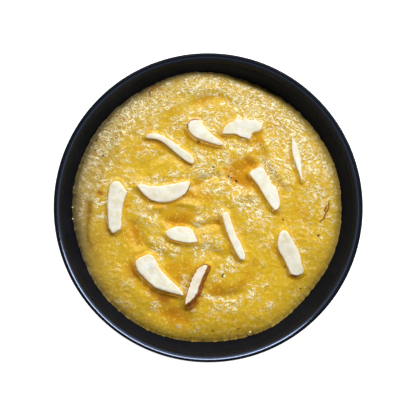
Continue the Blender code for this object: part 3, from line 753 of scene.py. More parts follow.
def edge_shade_and_dullness(angle, inset, crease, beside):
    """How strongly each spot has the painted shade and duller colour of the edge and creases, above 1 at the
    wall.
    """
    dull = np.maximum(np.cos(angle - math.radians(DULL_SIDE)), 0.0) ** 1.5
    narrow = np.exp(-(inset / EDGE_WIDTH) ** 1.5)
    broad = np.exp(-(inset / DULL_REACH) ** 2)
    edge = (EDGE_SHARE + DULL_EDGE_SHARE * dull + DARK_SHARE * np.cos(angle - DARK_SIDE)) * narrow
    edge += DULL_SHARE * dull * broad
    edge += (CONTACT_SHADE_SHARE + DULL_CONTACT_SHADE_SHARE * dull) * np.exp(-(inset / CONTACT_SHADE_WIDTH) ** 2)
    edge += (CREASE_SHARE * crease + BESIDE_SHARE * beside) * smooth_step(inset / CREASE_INSET)
    return edge


def coordinates(bm):
    return np.array([v.co for v in bm.verts])


def place(bm, spots):
    for vert, spot in zip(bm.verts, spots):
        vert.co = spot


def turned(section, steps):
    """A skin made by turning a section of (radius, height) points once round."""
    bm = bmesh.new()
    verts = [bm.verts.new((r, 0.0, z)) for r, z in section]
    edges = [bm.edges.new(pair) for pair in zip(verts, verts[1:])]
    bmesh.ops.spin(bm, geom=verts + edges, cent=(0, 0, 0), axis=(0, 0, 1), angle=2 * math.pi,
                   steps=steps, use_merge=True)
    bmesh.ops.remove_doubles(bm, verts=bm.verts, dist=MERGE_DISTANCE)
    return bm


def fine_disc(rings):
    """A fine flat mesh for the paste's top, with each vertex's share of the radius and its angle."""
    bm = bmesh.new()
    bmesh.ops.create_circle(bm, cap_ends=True, cap_tris=True, segments=6, radius=1.0)
    turn = Matrix.Rotation(math.radians(30), 3, "Z")
    bmesh.ops.rotate(bm, verts=bm.verts, cent=(0, 0, 0), matrix=turn)
    bmesh.ops.subdivide_edges(bm, edges=bm.edges, cuts=rings - 1, use_grid_fill=True)
    flat = coordinates(bm)
    share, angle = hexagon_to_disc(flat[:, 0], flat[:, 1])
    return bm, share, angle


def close_underneath(bm):
    """Closes the paste with rings down along the bowl's wall and a flat bottom."""
    rim = [edge for edge in bm.edges if edge.is_boundary]
    for height in UNDERSIDE_HEIGHTS:
        radius = wall_radius(height, -WALL_OVERLAP)
        made = bmesh.ops.extrude_edge_only(bm, edges=rim)["geom"]
        for vert in (item for item in made if isinstance(item, bmesh.types.BMVert)):
            turn = math.atan2(vert.co.y, vert.co.x)
            vert.co = (radius * math.cos(turn), radius * math.sin(turn), height)
        rim = [item for item in made if isinstance(item, bmesh.types.BMEdge) and item.is_boundary]
    bmesh.ops.contextual_create(bm, geom=rim)
    bmesh.ops.recalc_face_normals(bm, faces=bm.faces)
    if bm.calc_volume(signed=True) < 0:
        bmesh.ops.reverse_faces(bm, faces=bm.faces)


def rough_cut(piece, outline):
    """A slice with flat faces and a bevel round the upper one, as a bmesh in metres."""
    rings = ((underside_outline(piece, OUTLINE_STEPS), 0.0), (outline, piece.thickness - CUT_BEVEL),
             (grown(outline, -CUT_INSET), piece.thickness))
    bm = bmesh.new()
    loops = []
    for ring, lift in rings:
        loops.append([bm.verts.new((x * MM, y * MM, lift * MM)) for x, y in ring])
    edges = [[bm.edges.new((loop[i - 1], loop[i])) for i in range(len(loop))] for loop in loops]
    for lower, upper in zip(edges, edges[1:]):
        bmesh.ops.bridge_loops(bm, edges=lower + upper)
    bm.faces.new(loops[0])
    bm.faces.new(loops[-1])
    bmesh.ops.triangulate(bm, faces=bm.faces)
    bmesh.ops.recalc_face_normals(bm, faces=bm.faces)
    return bm


def rounded(bm, voxel):
    """The same shape in an even grid with rounded edges, as a bmesh in millimetres."""
    mesh = bpy.data.meshes.new("rough_cut")
    bm.to_mesh(mesh)
    bm.free()
    rough = bpy.data.objects.new("rough_cut", mesh)
    bpy.context.scene.collection.objects.link(rough)
    grid = rough.modifiers.new("grid", "REMESH")
    grid.mode = "VOXEL"
    grid.voxel_size = voxel
    smooth = rough.modifiers.new("round", "SMOOTH")
    smooth.factor = CUT_SMOOTHING
    smooth.iterations = CUT_PASSES
    fine = bmesh.new()
    fine.from_object(rough, bpy.context.evaluated_depsgraph_get())
    bpy.data.objects.remove(rough, do_unlink=True)
    bmesh.ops.scale(fine, vec=(1 / MM,) * 3, verts=fine.verts)
    return fine


def skin_cover(piece, outside, around, ripple):
    """Where brown skin is left along a slice's edge, from 0 to 1."""
    skin = np.zeros(len(outside))
    for start, end, width in piece.skin:
        middle, reach = 0.5 * (start + end), 0.5 * (end - start)
        turn = np.abs((around - middle + 0.5) % 1 - 0.5)
        near = smooth_step((reach - turn) / SKIN_END_FADE + 0.5)
        uneven = width * (1 + 0.5 * ripple)
        skin = np.maximum(skin, near * smooth_step((outside + uneven) / SKIN_FADE + 0.5))
    return skin


def add_object(name, bm, finish, attributes=None):
    """Makes a smooth-shaded piece in metres from a bmesh in millimetres, riding on the body."""
    bmesh.ops.scale(bm, vec=(MM, MM, MM), verts=bm.verts)
    mesh = bpy.data.meshes.new(name)
    bm.to_mesh(mesh)
    bm.free()
    mesh.shade_smooth()
    mesh.materials.append(finish)
    for label, values in (attributes or {}).items():
        layer = mesh.attributes.new(label, "FLOAT", "POINT")
        layer.data.foreach_set("value", np.asarray(values, np.float32))
    obj = bpy.data.objects.new(name, mesh)
    bpy.context.scene.collection.objects.link(obj)
    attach(obj, BODY)
    return obj


class Nodes:
    """A short way to build a material's nodes."""

    def __init__(self, name):
        self.material = bpy.data.materials.new(name)
        self.material.use_nodes = True
        self.tree = self.material.node_tree
        self.shader = self.tree.nodes["Principled BSDF"]

    def add(self, kind, **settings):
        node = self.tree.nodes.new(kind)
        for key, value in settings.items():
            setattr(node, key, value)
        return node

    def wire(self, source, target):
        self.tree.links.new(source, target)

    def feed(self, socket, value):
        if isinstance(value, bpy.types.NodeSocket):
            self.wire(value, socket)
        else:
            socket.default_value = value

    def finish(self, values):
        """Gives the surface its values, each a number, a colour or another node's output."""
        for name, value in values.items():
            self.feed(self.shader.inputs[name], value)
        return self.material

    def object_space(self):
        return self.add("ShaderNodeTexCoord").outputs["Object"]

    def attribute(self, name):
        return self.add("ShaderNodeAttribute", attribute_name=name).outputs["Fac"]

    def noise(self, feature, detail=2.0, roughness=0.5, distortion=0.0, vector=None):
        """Noise whose features are about as large as the given number of millimetres."""
        node = self.add("ShaderNodeTexNoise")
        self.wire(vector or self.object_space(), node.inputs["Vector"])
        node.inputs["Scale"].default_value = 1 / (feature * MM)
        node.inputs["Detail"].default_value = detail
        node.inputs["Roughness"].default_value = roughness
        node.inputs["Distortion"].default_value = distortion
        return node.outputs["Fac"]

    def streaked(self, degrees, stretch, shift):
        """Object coordinates squeezed along a direction, and shifted by millimetres from the window."""
        moved = self.add("ShaderNodeVectorMath", operation="ADD")
        self.wire(self.object_space(), moved.inputs[0])
        moved.inputs[1].default_value = (0.0, shift * MM, 0.0)
        turned = self.add("ShaderNodeVectorRotate", rotation_type="Z_AXIS")
        self.wire(moved.outputs["Vector"], turned.inputs["Vector"])
        turned.inputs["Angle"].default_value = -math.radians(degrees)
        squeezed = self.add("ShaderNodeVectorMath", operation="MULTIPLY")
        self.wire(turned.outputs["Vector"], squeezed.inputs[0])
        squeezed.inputs[1].default_value = (1 / stretch, 1.0, 1.0)
        return squeezed.outputs["Vector"]

    def maths(self, operation, first, second=0.0, clamp=False):
        node = self.add("ShaderNodeMath", operation=operation, use_clamp=clamp)
        self.feed(node.inputs[0], first)
        self.feed(node.inputs[1], second)
        return node.outputs[0]

    def ramp(self, value, low, high, first=0.0, last=1.0):
        """Maps a value from low..high to first..last, smoothly and clamped."""
        node = self.add("ShaderNodeMapRange", interpolation_type="SMOOTHSTEP")
        self.feed(node.inputs["Value"], value)
        node.inputs["From Min"].default_value = low
        node.inputs["From Max"].default_value = high
        node.inputs["To Min"].default_value = first
        node.inputs["To Max"].default_value = last
        return node.outputs["Result"]

    def mix(self, share, first, second):
        node = self.add("ShaderNodeMix", data_type="RGBA")
        self.feed(node.inputs["Factor"], share)
        self.feed(node.inputs["A"], self.colour(first))
        self.feed(node.inputs["B"], self.colour(second))
        return node.outputs["Result"]

    @staticmethod
    def colour(value):
        return value if isinstance(value, bpy.types.NodeSocket) else (*value[:3], 1.0)

    def bump(self, height, depth, below=None):
        """Relief of so many millimetres, over the normal that another bump gives."""
        node = self.add("ShaderNodeBump")
        node.inputs["Strength"].default_value = 1.0
        node.inputs["Distance"].default_value = depth * MM
        self.wire(height, node.inputs["Height"])
        if below:
            self.wire(below, node.inputs["Normal"])
        return node.outputs["Normal"]


def colour_property(name, description, default):
    return bpy.props.FloatVectorProperty(name=name, description=description, default=default,
                                         subtype="COLOR", size=3, min=0.0, max=1.0)


class BowlSettings(bpy.types.PropertyGroup):
    """The bowl's glaze and the fineness of its turned shape."""

    glaze: colour_property("Glaze", "Colour of the satin glaze", (0.0050, 0.0061, 0.0092))
    # The inner wall has a lighter copy of the glaze colour, painted light for the shaded wall.
    wall: colour_property("Inner wall", "Colour of the duller glaze on the wall", (0.0070, 0.0086, 0.0134))
    sheen: colour_property("Sheen", "Colour that the glaze gives to reflections", (0.55, 0.68, 1.0))
    roughness: bpy.props.FloatProperty(name="Roughness", description="How satin the glaze is",
                                       default=0.07, min=0.0, max=1.0, subtype="FACTOR")
    segments: bpy.props.IntProperty(name="Segments", description="Steps round the bowl",
                                    default=192, min=24)


class PasteSettings(bpy.types.PropertyGroup):
    """The halwa's colours, and how rough its surface is."""

    golden: colour_property("Golden", "Colour of the paste at its usual thickness", (0.66, 0.42, 0.020))
    # Amber is the colour of ghee pools and of painted shade in hollows, creases and beside the slices.
    amber_and_shade: colour_property("Amber", "Colour of the hollows where ghee gathers", (0.56, 0.245, 0.006))
    # Brown is the colour of the painted shadow beside the slices, in creases and in the deepest hollows.
    brown: colour_property("Brown", "Colour of the darkest syrup", (0.28, 0.075, 0.011))
    # Painted highlights on the wet crests, and the painted shadow beside them.
    pale: colour_property("Pale", "Colour of the wet crests", (0.98, 0.92, 0.66))
    shade: colour_property("Shade", "Colour beside the wet crests", (0.40, 0.275, 0.05))
    creamy: colour_property("Creamy", "Colour of the small lighter flecks", (0.86, 0.68, 0.16))
    # Raised paste, drier and painted lighter where the ridges catch the light.
    bright: colour_property("Bright", "Colour of the raised, drier paste", (0.86, 0.60, 0.070))
    dull: colour_property("Dull", "Colour of the duller clouds in the paste", (0.52, 0.345, 0.03))
    # Painted shade right where the paste meets the wall, and painted shade with a duller colour where it
    # rolls down at the wall.
    wall_contact_shade: colour_property("Crust", "Colour of the very edge", (0.18, 0.135, 0.055))
    rim: colour_property("Edge", "Colour of the paste that rolls down at the wall", (0.39, 0.285, 0.100))
    rings: bpy.props.IntProperty(name="Rings", description="Rings of the fine mesh", default=165, min=20)
    wrinkle: bpy.props.FloatProperty(name="Wrinkles", description="Height of the wrinkles",
                                     default=0.00022, unit="LENGTH", precision=5)
    grain: bpy.props.FloatProperty(name="Grain", description="Height of the finer grain",
                                   default=0.00013, unit="LENGTH", precision=5)


class AlmondSettings(bpy.types.PropertyGroup):
    """The almond slices' colours and fineness."""

    flesh: colour_property("Flesh", "Colour of the cut almond", (0.84, 0.82, 0.735))
    # Warm painted bounce light from the paste on cut sides turned from the window, and a faint tint towards
    # each edge.
    bounce_and_edge_tint: colour_property("Soaked", "Colour of the cut sides that the paste soaks", (0.88, 0.58, 0.22))
    skin: colour_property("Skin", "Colour of the brown skin", (0.40, 0.135, 0.016))
    voxel: bpy.props.FloatProperty(name="Grid", description="Size of the grid that rounds a slice",
                                   default=0.00022, unit="LENGTH", precision=5)


class GarnishSettings(bpy.types.PropertyGroup):
    """The saffron, the spice specks and the crumbs."""

    saffron: colour_property("Saffron", "Colour of the strands", (0.52, 0.19, 0.012))
    spice: colour_property("Spice", "Colour of the dark specks", (0.075, 0.018, 0.006))
    crumb: colour_property("Crumb", "Colour of the crumbs of paste", (0.62, 0.42, 0.09))
    strand: bpy.props.FloatProperty(name="Strand", description="Thickness of a strand", default=0.00065,
                                    unit="LENGTH", precision=5)


class StageSettings(bpy.types.PropertyGroup):
    """The camera, the window light and the table."""

    distance: bpy.props.FloatProperty(name="Camera distance", description="From the rim to the camera",
                                      default=0.5, unit="LENGTH")
    view_width: bpy.props.FloatProperty(name="View width", description="Width of the picture at the rim",
                                        default=0.16925, unit="LENGTH")
    window: bpy.props.FloatProperty(name="Window", description="Power of the window light",
                                    default=13.2, unit="POWER")
    fill: bpy.props.FloatProperty(name="Fill", description="Strength of the light from all round",
                                  default=1.2, min=0.0)


def dimmed(colour, share):
    """The colour with each channel at a share of its strength."""
    return tuple(share * channel for channel in colour)


def glaze_material(settings, band):
    """The navy-black glaze, which is polished at the lip and duller in each band below."""
    made = Nodes(f"navy_glaze_{band + 1}")
    mottle = made.ramp(made.noise(9.0, detail=4.0, roughness=0.6), 0.35, 0.7)
    # The wall band takes the lighter copy of the glaze, painted light for the shaded wall.
    colour = settings.glaze if band < WALL_BAND else settings.wall
    cloud = made.noise(1.6, detail=3.0)
    low = settings.roughness + BAND_DULLING * band
    values = {
        "Base Color": made.mix(mottle, dimmed(colour, 0.75), colour),
        "Roughness": made.ramp(cloud, 0.3, 0.7, first=low, last=low + SATIN_RANGE),
        "Specular IOR Level": GLAZE_BANDS[band][1],
        "Specular Tint": (*settings.sheen, 1.0),
        "Normal": made.bump(made.noise(0.9), 0.012),
    }
    if band == 0:
        values["IOR"] = LIP_IOR
    return made.finish(values)


def curling_lines(made, degrees, shift):
    """Thin curling lines that run in a direction, as a value from 0 to 1."""
    swirl = made.noise(SWIRL_SIZE, distortion=0.7, vector=made.streaked(degrees, STREAK_LENGTH, shift))
    off_line = made.maths("ABSOLUTE", made.maths("SUBTRACT", swirl, 0.5))
    return made.ramp(off_line, 0.012, 0.075, first=1.0, last=0.0)


def crossing_lines(made, shift):
    """Curling lines that run one way in some places and another way in others."""
    region = made.ramp(made.noise(SWIRL_REGION_SIZE, detail=1.0), 0.44, 0.56)
    first, second = (curling_lines(made, degrees, shift) for degrees in STREAK_DIRECTIONS)
    rest = made.maths("SUBTRACT", 1.0, region)
    return made.maths("ADD", made.maths("MULTIPLY", first, region), made.maths("MULTIPLY", second, rest))


def paste_colour(made, settings, fine, crest_shadow, crest_glint):
    """The paste's colour in layers: pools with painted shade, clouds, flecks and lit ridges, then painted
    shade, shadow and highlights.
    """
    amber_and_shade = made.attribute("amber_and_shade")
    edge = made.attribute("edge")
    cloud = made.noise(CLOUD_SIZE, detail=3.0, roughness=0.6)
    deep = made.maths("ADD", amber_and_shade, made.ramp(cloud, 0.35, 0.75, first=-0.18, last=0.22), clamp=True)
    dull = made.noise(DULL_CLOUD_SIZE, detail=3.0, roughness=0.6)
    layers = (
        # Ghee with painted shade in the hollows.
        (deep, settings.amber_and_shade),
        (made.ramp(dull, 0.45, 0.75, first=0.0, last=0.3), settings.dull),
        # Ridges painted lighter, partly for a drier paste.
        (made.ramp(amber_and_shade, BRIGHTEST, -0.05, first=0.7, last=0.0), settings.bright),
        (made.ramp(fine, 0.56, 0.70, first=0.0, last=0.6), settings.creamy),
        (made.ramp(fine, 0.28, 0.42, first=0.3, last=0.0), settings.amber_and_shade),
        # Painted shade and a duller colour along the wall, darkest right at the wall, and painted shade in
        # creases.
        (edge, settings.rim),
        (made.ramp(edge, 0.75, 1.3, first=0.0, last=0.9), settings.wall_contact_shade),
        (made.attribute("brown"), settings.brown),
        # Painted shadow beside the crests, then painted highlights on them.
        (made.maths("MULTIPLY", crest_shadow, CREST_SHADOW_STRENGTH), settings.shade),
        (made.maths("MULTIPLY", crest_glint, CREST_GLINT_STRENGTH), settings.pale),
    )
    body = settings.golden
    for share, colour in layers:
        body = made.mix(share, body, colour)
    return body


def paste_material(settings):
    """The glistening paste, with painted highlights and painted shadow along wet curling crests where it
    glitters.
    """
    made = Nodes("almond_paste")
    glitter = made.attribute("glitter")
    fine = made.noise(FLECK_SIZE, distortion=0.6)
    centred = made.maths("SUBTRACT", made.noise(BREAK_SIZE, detail=1.0), 0.5)
    wet = made.ramp(made.maths("ADD", glitter, made.maths("MULTIPLY", centred, BREAK_STRENGTH)), 0.2, 0.95)
    # Painted highlights along the crests, and painted shadow beside them, shifted away from the window.
    crest_glint = made.maths("MULTIPLY", crossing_lines(made, 0.0), wet)
    crest_shadow = made.maths("MULTIPLY", crossing_lines(made, STREAK_SHADOW), wet)
    rough = made.maths("MULTIPLY", fine, made.ramp(glitter, 0.0, 1.0, first=0.42, last=1.0))
    rough = made.maths("ADD", rough, made.maths("MULTIPLY", crest_glint, CREST_RISE))
    return made.finish({
        "Base Color": paste_colour(made, settings, fine, crest_shadow, crest_glint),
        "Roughness": made.ramp(wet, 0.1, 0.8, first=0.26, last=0.15),
        "Specular IOR Level": 0.24,
        "Specular Tint": PASTE_TINT,
        "Subsurface Weight": 0.2,
        "Subsurface Radius": PASTE_SCATTER,
        "Subsurface Scale": PASTE_DEPTH * MM,
        "Normal": made.bump(rough, PASTE_BUMP),
    })


def almond_material(settings):
    """The cut almond's pale flesh, painted bounce light on sides turned from the window, a warmer edge, and
    the brown skin.
    """
    made = Nodes("cut_almond")
    warm = made.noise(3.0, detail=3.0, roughness=0.6)
    stripes = made.noise(0.5)
    shaded = tuple(channel * share for channel, share in zip(settings.flesh, FLESH_SHADE))
    flesh = made.mix(made.ramp(warm, 0.35, 0.7), settings.flesh, shaded)
    # Painted bounce light on sides turned from the window, and the warmer edge.
    flesh = made.mix(made.attribute("side"), flesh, settings.bounce_and_edge_tint)
    brown = made.mix(made.ramp(stripes, 0.35, 0.7), settings.skin, dimmed(settings.skin, 0.5))
    return made.finish({
        "Base Color": made.mix(made.attribute("skin"), flesh, brown),
        "Roughness": 0.55,
        "Specular IOR Level": 0.35,
        "Subsurface Weight": 1.0,
        "Subsurface Radius": FLESH_SCATTER,
        "Subsurface Scale": FLESH_DEPTH * MM,
        "Normal": made.bump(stripes, 0.025, made.bump(warm, 0.06)),
    })


def plain_material(name, first, second, feature, roughness, gloss=0.25):
    """A simple finish that varies between two colours."""
    made = Nodes(name)
    return made.finish({
        "Base Color": made.mix(made.ramp(made.noise(feature), 0.35, 0.65), first, second),
        "Roughness": roughness,
        "Specular IOR Level": gloss,
    })


class HALWA_OT_bowl(bpy.types.Operator):
    """Turn the bowl finely and give it its satin glaze"""

    bl_idname = "halwa.bowl"
    bl_label = "Bowl"

    def execute(self, context):
        settings = context.scene.halwa_bowl
        bm = turned(bowl_profile(WALL_STEPS, LIP_STEPS), settings.segments)
        bmesh.ops.recalc_face_normals(bm, faces=bm.faces)
        for face in bm.faces:
            middle = face.calc_center_median()
            outside = middle.xy.dot(face.normal.xy) > 0
            bands = [band for band, (floor, _) in enumerate(GLAZE_BANDS) if middle.z > floor]
            face.material_index = OUTSIDE_BAND if outside else bands[0]
        bowl = add_object("glazed_bowl", bm, glaze_material(settings, 0))
        for band in range(1, len(GLAZE_BANDS)):
            bowl.data.materials.append(glaze_material(settings, band))
        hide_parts("bowl")
        return {"FINISHED"}


class HALWA_OT_paste(bpy.types.Operator):
    """Fill the bowl with the folded, glistening almond paste"""

    bl_idname = "halwa.paste"
    bl_label = "Almond paste"

    def execute(self, context):
        settings = context.scene.halwa_paste
        bm, share, angle = fine_disc(settings.rings)
        ring = np.column_stack([np.cos(angle), np.sin(angle)]) * BOWL_RADIUS
        line = sum(rise * noise_at(ring, size, seed) for rise, size, seed in EDGE_LINES)
        contact = fill_line(angle) + line
        middle = wall_radius(FILL_HEIGHT, 0.0)
        radius = share * (middle + (wall_radius(contact, -WALL_OVERLAP) - middle) * share ** 3)
        spots = np.column_stack([radius * np.cos(angle), radius * np.sin(angle)])
        inset = np.maximum(wall_radius(contact, 0.0) - radius, 0.0)
        height, clearance = halwa_surface(spots, SEAT_GAP - SEAT_CLEARANCE)
        height += line * np.exp(-inset / EDGE_LINE_FADE)

        # A band of painted contact shadow beside each slice, strongest on the side away from the window, and
        # a raised bead.
        below = behind_slices(spots, clearance)
        uneven = BAND_STRENGTH + BAND_UNEVENNESS * noise_at(spots, *BAND_NOISE)
        band = np.clip(below * uneven, 0, 1) * np.exp(-((clearance - SHADOW_BAND_PLACE) / SHADOW_BAND_WIDTH) ** 2)
        bead = np.exp(-((clearance - BEAD_PLACE) / BEAD_WIDTH) ** 2)
        bead = (BEAD_RISE + BEHIND_BEAD_RISE * below) * uneven * bead
        glitter, amber_and_shade = glitter_and_amber_shade(spots, band, inset)
        open_share = smooth_step(clearance / SLICE_MARGIN) * smooth_step(inset / WALL_MARGIN)
        height += wrinkles(settings, spots, glitter, amber_and_shade) * open_share
        height += bead * smooth_step(inset / BEAD_INSET)

        place(bm, np.column_stack([spots, height]))
        close_underneath(bm)
        hidden = np.zeros(len(bm.verts) - len(spots))
        # Painted shade along the wall and in the creases, where the paste is also painted amber.
        crease, beside = creases(spots)
        edge = edge_shade_and_dullness(angle, inset, crease, beside)
        amber_and_shade = np.maximum(amber_and_shade, CREASE_AMBER * crease)
        # Painted shadow in brown patches.
        brown = patch_strength(spots, SHADOW_PATCHES)
        values = {"glitter": glitter, "amber_and_shade": amber_and_shade, "edge": edge, "brown": brown}
        attributes = {name: np.concatenate([value, hidden]) for name, value in values.items()}
        paste = add_object("halwa_paste", bm, paste_material(settings), attributes)
        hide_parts("halwa")
        return {"FINISHED"}


class HALWA_OT_almonds(bpy.types.Operator):
    """Cut the almond slices and lay each in its seat"""

    bl_idname = "halwa.almonds"
    bl_label = "Almond slices"

    def execute(self, context):
        settings = context.scene.halwa_almonds
        finish = almond_material(settings)
        for number, piece in enumerate(SLICES, 1):
            self.make(number, piece, settings, finish)
        return {"FINISHED"}

    def make(self, number, piece, settings, finish):
        level, slope = seat_plane(piece)
        outline = slice_outline(piece, OUTLINE_STEPS)
        bm = rounded(rough_cut(piece, outline), settings.voxel)
        spots = coordinates(bm)
        flat = spots[:, :2]
        lift = np.clip(spots[:, 2] / piece.thickness, 0, 1)
        outside, around = distance_outside(flat, outline)
        wave = noise_at(flat, CUT_WAVE_SIZE, WAVE_SEED + number)
        ripple = noise_at(flat, CUT_RIPPLE_SIZE, RIPPLE_SEED + number)
        ragged = [noise_at(flat, CUT_RAGGED_SIZE, seed + number) for seed in RAGGED_SEEDS]
        spots[:, :2] += CUT_RAGGEDNESS * lift[:, None] * np.column_stack(ragged)
        spots[:, 2] += lift * (CUT_WAVE * wave + CUT_RIPPLE * ripple)
        spots[:, 2] += level + SEAT_GAP + (flat - np.array(piece.centre, float)) @ slope
        place(bm, spots)
        bmesh.ops.recalc_face_normals(bm, faces=bm.faces)
        bm.normal_update()

        # Painted bounce light on cut sides turned from the window, and a faint warmer tint towards the edge.
        turned_away = -np.array([v.normal.xy for v in bm.verts]) @ np.array(TO_WINDOW)
        side = smooth_step((outside + BOUNCE_INSET) / BOUNCE_FADE) * smooth_step(turned_away / BOUNCE_SLOPE)
        side = np.maximum(side, EDGE_TINT * np.exp(np.minimum(outside, 0) / EDGE_TINT_WIDTH))
        covers = {"skin": skin_cover(piece, outside, around, ripple), "side": side}
        almond = add_object(f"almond_{number:02d}", bm, finish, covers)
        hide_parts(f"almond_slice_{number:02d}")


class HALWA_OT_garnish(bpy.types.Operator):
    """Scatter the saffron strands, spice specks and crumbs, and blow the bubble"""

    bl_idname = "halwa.garnish"
    bl_label = "Saffron, specks and crumbs"

    def execute(self, context):
        settings = context.scene.halwa_garnish
        self.paste = bpy.data.objects["halwa_paste"]
        self.strands(settings)
        browner = dimmed(settings.saffron, 0.6)
        kinds = (
            ("spice_specks", SPECKS, "dark_spice", settings.spice, (0.10, 0.05, 0.02), 0.5, 0.45),
            ("saffron_dots", DOTS, "saffron_dust", settings.saffron, browner, 0.5, 0.5),
            ("paste_crumbs", CRUMBS, "pale_crumb", settings.crumb, (0.93, 0.86, 0.54), 0.6, 0.3),
            # A pale grain in the bubble, a painted highlight.
            ("bubble_gleam", GLEAM, "gleam", (0.95, 0.93, 0.85), (0.85, 0.80, 0.64), 0.5, 0.1, 0.8),
        )
        for name, places, *finish in kinds:
            self.grains(name, places, plain_material(*finish))
        self.bubble()
        return {"FINISHED"}

    def surface(self, x, y):
        """The point of the paste under a place, found from straight above."""
        found, point, _, _ = self.paste.ray_cast(Vector((x * MM, y * MM, 0.1)), Vector((0, 0, -1)))
        return point / MM if found else Vector((x, y, FILL_HEIGHT))

    def strands(self, settings):
        """Short dried threads lying on the paste, as tubes that thin towards their ends."""
        bm = bmesh.new()
        for path in STRANDS:
            line = [self.surface(x, y) for x, y in catmull_rom(path, STRAND_STEPS, closed=False)]
            rings = []
            for index, point in enumerate(line):
                ahead = line[min(index + 1, len(line) - 1)] - line[max(index - 1, 0)]
                taper = 1 - STRAND_TAPER * abs(2 * index / (len(line) - 1) - 1) ** 3
                uneven = 1 + STRAND_UNEVENNESS * noise.noise(point * 2)
                radius = 0.5 * settings.strand / MM * taper * uneven
                turn = ahead.to_track_quat("Z", "Y").to_matrix().to_4x4()
                matrix = Matrix.Translation(point + Vector((0, 0, STRAND_LIFT))) @ turn
                made = bmesh.ops.create_circle(bm, segments=STRAND_SIDES, radius=radius, matrix=matrix)
                made = made["verts"]
                rings.append([edge for edge in bm.edges if edge.verts[0] in made and edge.verts[1] in made])
            for lower, upper in zip(rings, rings[1:]):
                bmesh.ops.bridge_loops(bm, edges=lower + upper)
            bmesh.ops.holes_fill(bm, edges=rings[0] + rings[-1])
        bmesh.ops.recalc_face_normals(bm, faces=bm.faces)
        dark = dimmed(settings.saffron, 0.35)
        finish = plain_material("saffron_strand", settings.saffron, dark, 1.2, 0.5)
        add_object("saffron_strands", bm, finish)

    def grains(self, name, places, finish):
        """Small uneven grains half sunk into whatever they lie on."""
        bm = bmesh.new()
        for x, y, size, *height in places:
            point = Vector((x, y, *height)) if height else self.surface(x, y)
            made = bmesh.ops.create_icosphere(bm, subdivisions=2, radius=SPECK_RADIUS * size)["verts"]
            for vert in made:
                bumps = noise.noise(vert.co * (SPECK_WAVES / size) + Vector((x, y, 0)))
                vert.co *= 1 + SPECK_ROUGHNESS * bumps
                vert.co.z *= SPECK_FLATNESS
            bmesh.ops.translate(bm, verts=made, vec=point + Vector((0, 0, SPECK_LIFT * size)))
        add_object(name, bm, finish)

    def bubble(self):
        """An open bubble: a glossy round dent with a raised dark rim."""
        x, y, radius = BUBBLE
        bm = turned([(share * radius, height) for share, height in BUBBLE_SECTION], BUBBLE_STEPS)
        bmesh.ops.translate(bm, verts=bm.verts, vec=self.surface(x, y) + Vector((0, 0, BUBBLE_LIFT)))
        bmesh.ops.recalc_face_normals(bm, faces=bm.faces)
        finish = plain_material("bubble_film", (0.10, 0.06, 0.02), (0.30, 0.19, 0.05), 0.5, 0.06, 0.8)
        add_object("syrup_bubble", bm, finish)


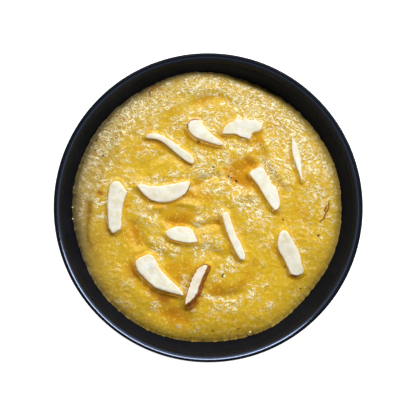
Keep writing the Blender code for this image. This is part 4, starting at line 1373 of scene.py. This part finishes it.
class HALWA_OT_stage(bpy.types.Operator):
    """Set the table, the window light and the camera"""

    bl_idname = "halwa.stage"
    bl_label = "Table, window and camera"

    def execute(self, context):
        settings = context.scene.halwa_stage
        self.table()
        self.room(settings)
        self.window(settings)
        self.camera(settings)
        context.scene.view_settings.view_transform = "Standard"
        return {"FINISHED"}

    def table(self):
        """A white table that glows a little, so that it stays as even as in the photograph."""
        bm = bmesh.new()
        bmesh.ops.create_grid(bm, x_segments=1, y_segments=1, size=TABLE_REACH)
        bmesh.ops.scale(bm, vec=(MM, MM, MM), verts=bm.verts)
        mesh = bpy.data.meshes.new("table")
        bm.to_mesh(mesh)
        bm.free()
        made = Nodes("white_table")
        mesh.materials.append(made.finish({
            "Base Color": made.mix(made.noise(60.0), (0.93, 0.93, 0.93), (0.9, 0.9, 0.9)),
            "Roughness": 0.8,
            "Emission Color": (1.0, 1.0, 1.0, 1.0),
            "Emission Strength": TABLE_GLOW,
        }))
        table = bpy.data.objects.new("table", mesh)
        bpy.context.scene.collection.objects.link(table)

    def room(self, settings):
        """The light from all round, which is weak from straight above and stronger on the window's side."""
        world = bpy.data.worlds.new("soft_room")
        world.use_nodes = True
        tree = world.node_tree
        background = tree.nodes["Background"]
        background.inputs["Color"].default_value = ROOM_COLOUR
        direction = tree.nodes.new("ShaderNodeSeparateXYZ")
        place = tree.nodes.new("ShaderNodeTexCoord")
        tree.links.new(place.outputs["Generated"], direction.inputs["Vector"])
        fading = tree.nodes.new("ShaderNodeMapRange")
        fading.interpolation_type = "SMOOTHSTEP"
        tree.links.new(direction.outputs["Z"], fading.inputs["Value"])
        fading.inputs["From Min"].default_value = ROOM_FADE[0]
        fading.inputs["From Max"].default_value = ROOM_FADE[1]
        fading.inputs["To Min"].default_value = settings.fill
        fading.inputs["To Max"].default_value = OVERHEAD_SHARE * settings.fill
        sideways = tree.nodes.new("ShaderNodeMapRange")
        tree.links.new(direction.outputs["Y"], sideways.inputs["Value"])
        sideways.inputs["From Min"].default_value = -1.0
        sideways.inputs["To Min"].default_value = AWAY_SHARE
        sideways.inputs["To Max"].default_value = WINDOW_SHARE
        product = tree.nodes.new("ShaderNodeMath")
        product.operation = "MULTIPLY"
        tree.links.new(fading.outputs["Result"], product.inputs[0])
        tree.links.new(sideways.outputs["Result"], product.inputs[1])
        tree.links.new(product.outputs["Value"], background.inputs["Strength"])
        bpy.context.scene.world = world

    def window(self, settings):
        light = bpy.data.lights.new("window", "AREA")
        light.shape = "RECTANGLE"
        light.size, light.size_y = WINDOW_SIZE
        light.energy = settings.window
        light.color = WINDOW_COLOUR
        window = bpy.data.objects.new("window", light)
        window.location = WINDOW_PLACE
        aim = Vector(WINDOW_AIM) - window.location
        window.rotation_euler = aim.to_track_quat("-Z", "Y").to_euler()
        bpy.context.scene.collection.objects.link(window)

    def camera(self, settings):
        """Looks almost straight down on the rim, with the picture's top towards +Y."""
        data = bpy.data.cameras.new("camera")
        data.sensor_width = SENSOR_WIDTH
        data.lens = data.sensor_width * settings.distance / settings.view_width
        camera = bpy.data.objects.new("camera", data)
        target = Vector((*VIEW_CENTRE, (BOWL_HEIGHT - LIP_RADIUS) * MM))
        off_plumb = math.radians(VIEW_TILT)
        aside = Vector(VIEW_SIDE).normalized() * math.sin(off_plumb)
        back = Vector((aside.x, aside.y, math.cos(off_plumb)))
        camera.location = target + settings.distance * back
        right = Vector((0, 1, 0)).cross(back).normalized()
        up = back.cross(right)
        camera.rotation_euler = Matrix((right, up, back)).transposed().to_euler()
        bpy.context.scene.collection.objects.link(camera)
        bpy.context.scene.camera = camera


class HALWA_PT_panel(bpy.types.Panel):
    """Lists the steps and their settings"""

    bl_idname = "HALWA_PT_panel"
    bl_label = "Badam halwa"
    bl_space_type = "VIEW_3D"
    bl_region_type = "UI"
    bl_category = "Halwa"

    def draw(self, context):
        for operator, group in STEPS:
            box = self.layout.box()
            box.operator(operator.bl_idname)
            settings = getattr(context.scene, group)
            for key in settings.__annotations__:
                box.prop(settings, key)


GROUPS = {
    "halwa_bowl": BowlSettings,
    "halwa_paste": PasteSettings,
    "halwa_almonds": AlmondSettings,
    "halwa_garnish": GarnishSettings,
    "halwa_stage": StageSettings,
}
STEPS = (
    (HALWA_OT_bowl, "halwa_bowl"),
    (HALWA_OT_paste, "halwa_paste"),
    (HALWA_OT_almonds, "halwa_almonds"),
    (HALWA_OT_garnish, "halwa_garnish"),
    (HALWA_OT_stage, "halwa_stage"),
)


def register():
    for group in GROUPS.values():
        bpy.utils.register_class(group)
    for operator, _ in STEPS:
        bpy.utils.register_class(operator)
    bpy.utils.register_class(HALWA_PT_panel)
    for name, group in GROUPS.items():
        setattr(bpy.types.Scene, name, bpy.props.PointerProperty(type=group))


def unregister():
    for name in GROUPS:
        delattr(bpy.types.Scene, name)
    bpy.utils.unregister_class(HALWA_PT_panel)
    for operator, _ in reversed(STEPS):
        bpy.utils.unregister_class(operator)
    for group in reversed(GROUPS.values()):
        bpy.utils.unregister_class(group)


def main():
    register()
    bpy.ops.halwa.bowl()
    bpy.ops.halwa.paste()
    bpy.ops.halwa.almonds()
    bpy.ops.halwa.garnish()
    bpy.ops.halwa.stage()


if __name__ == "__main__":
    main()
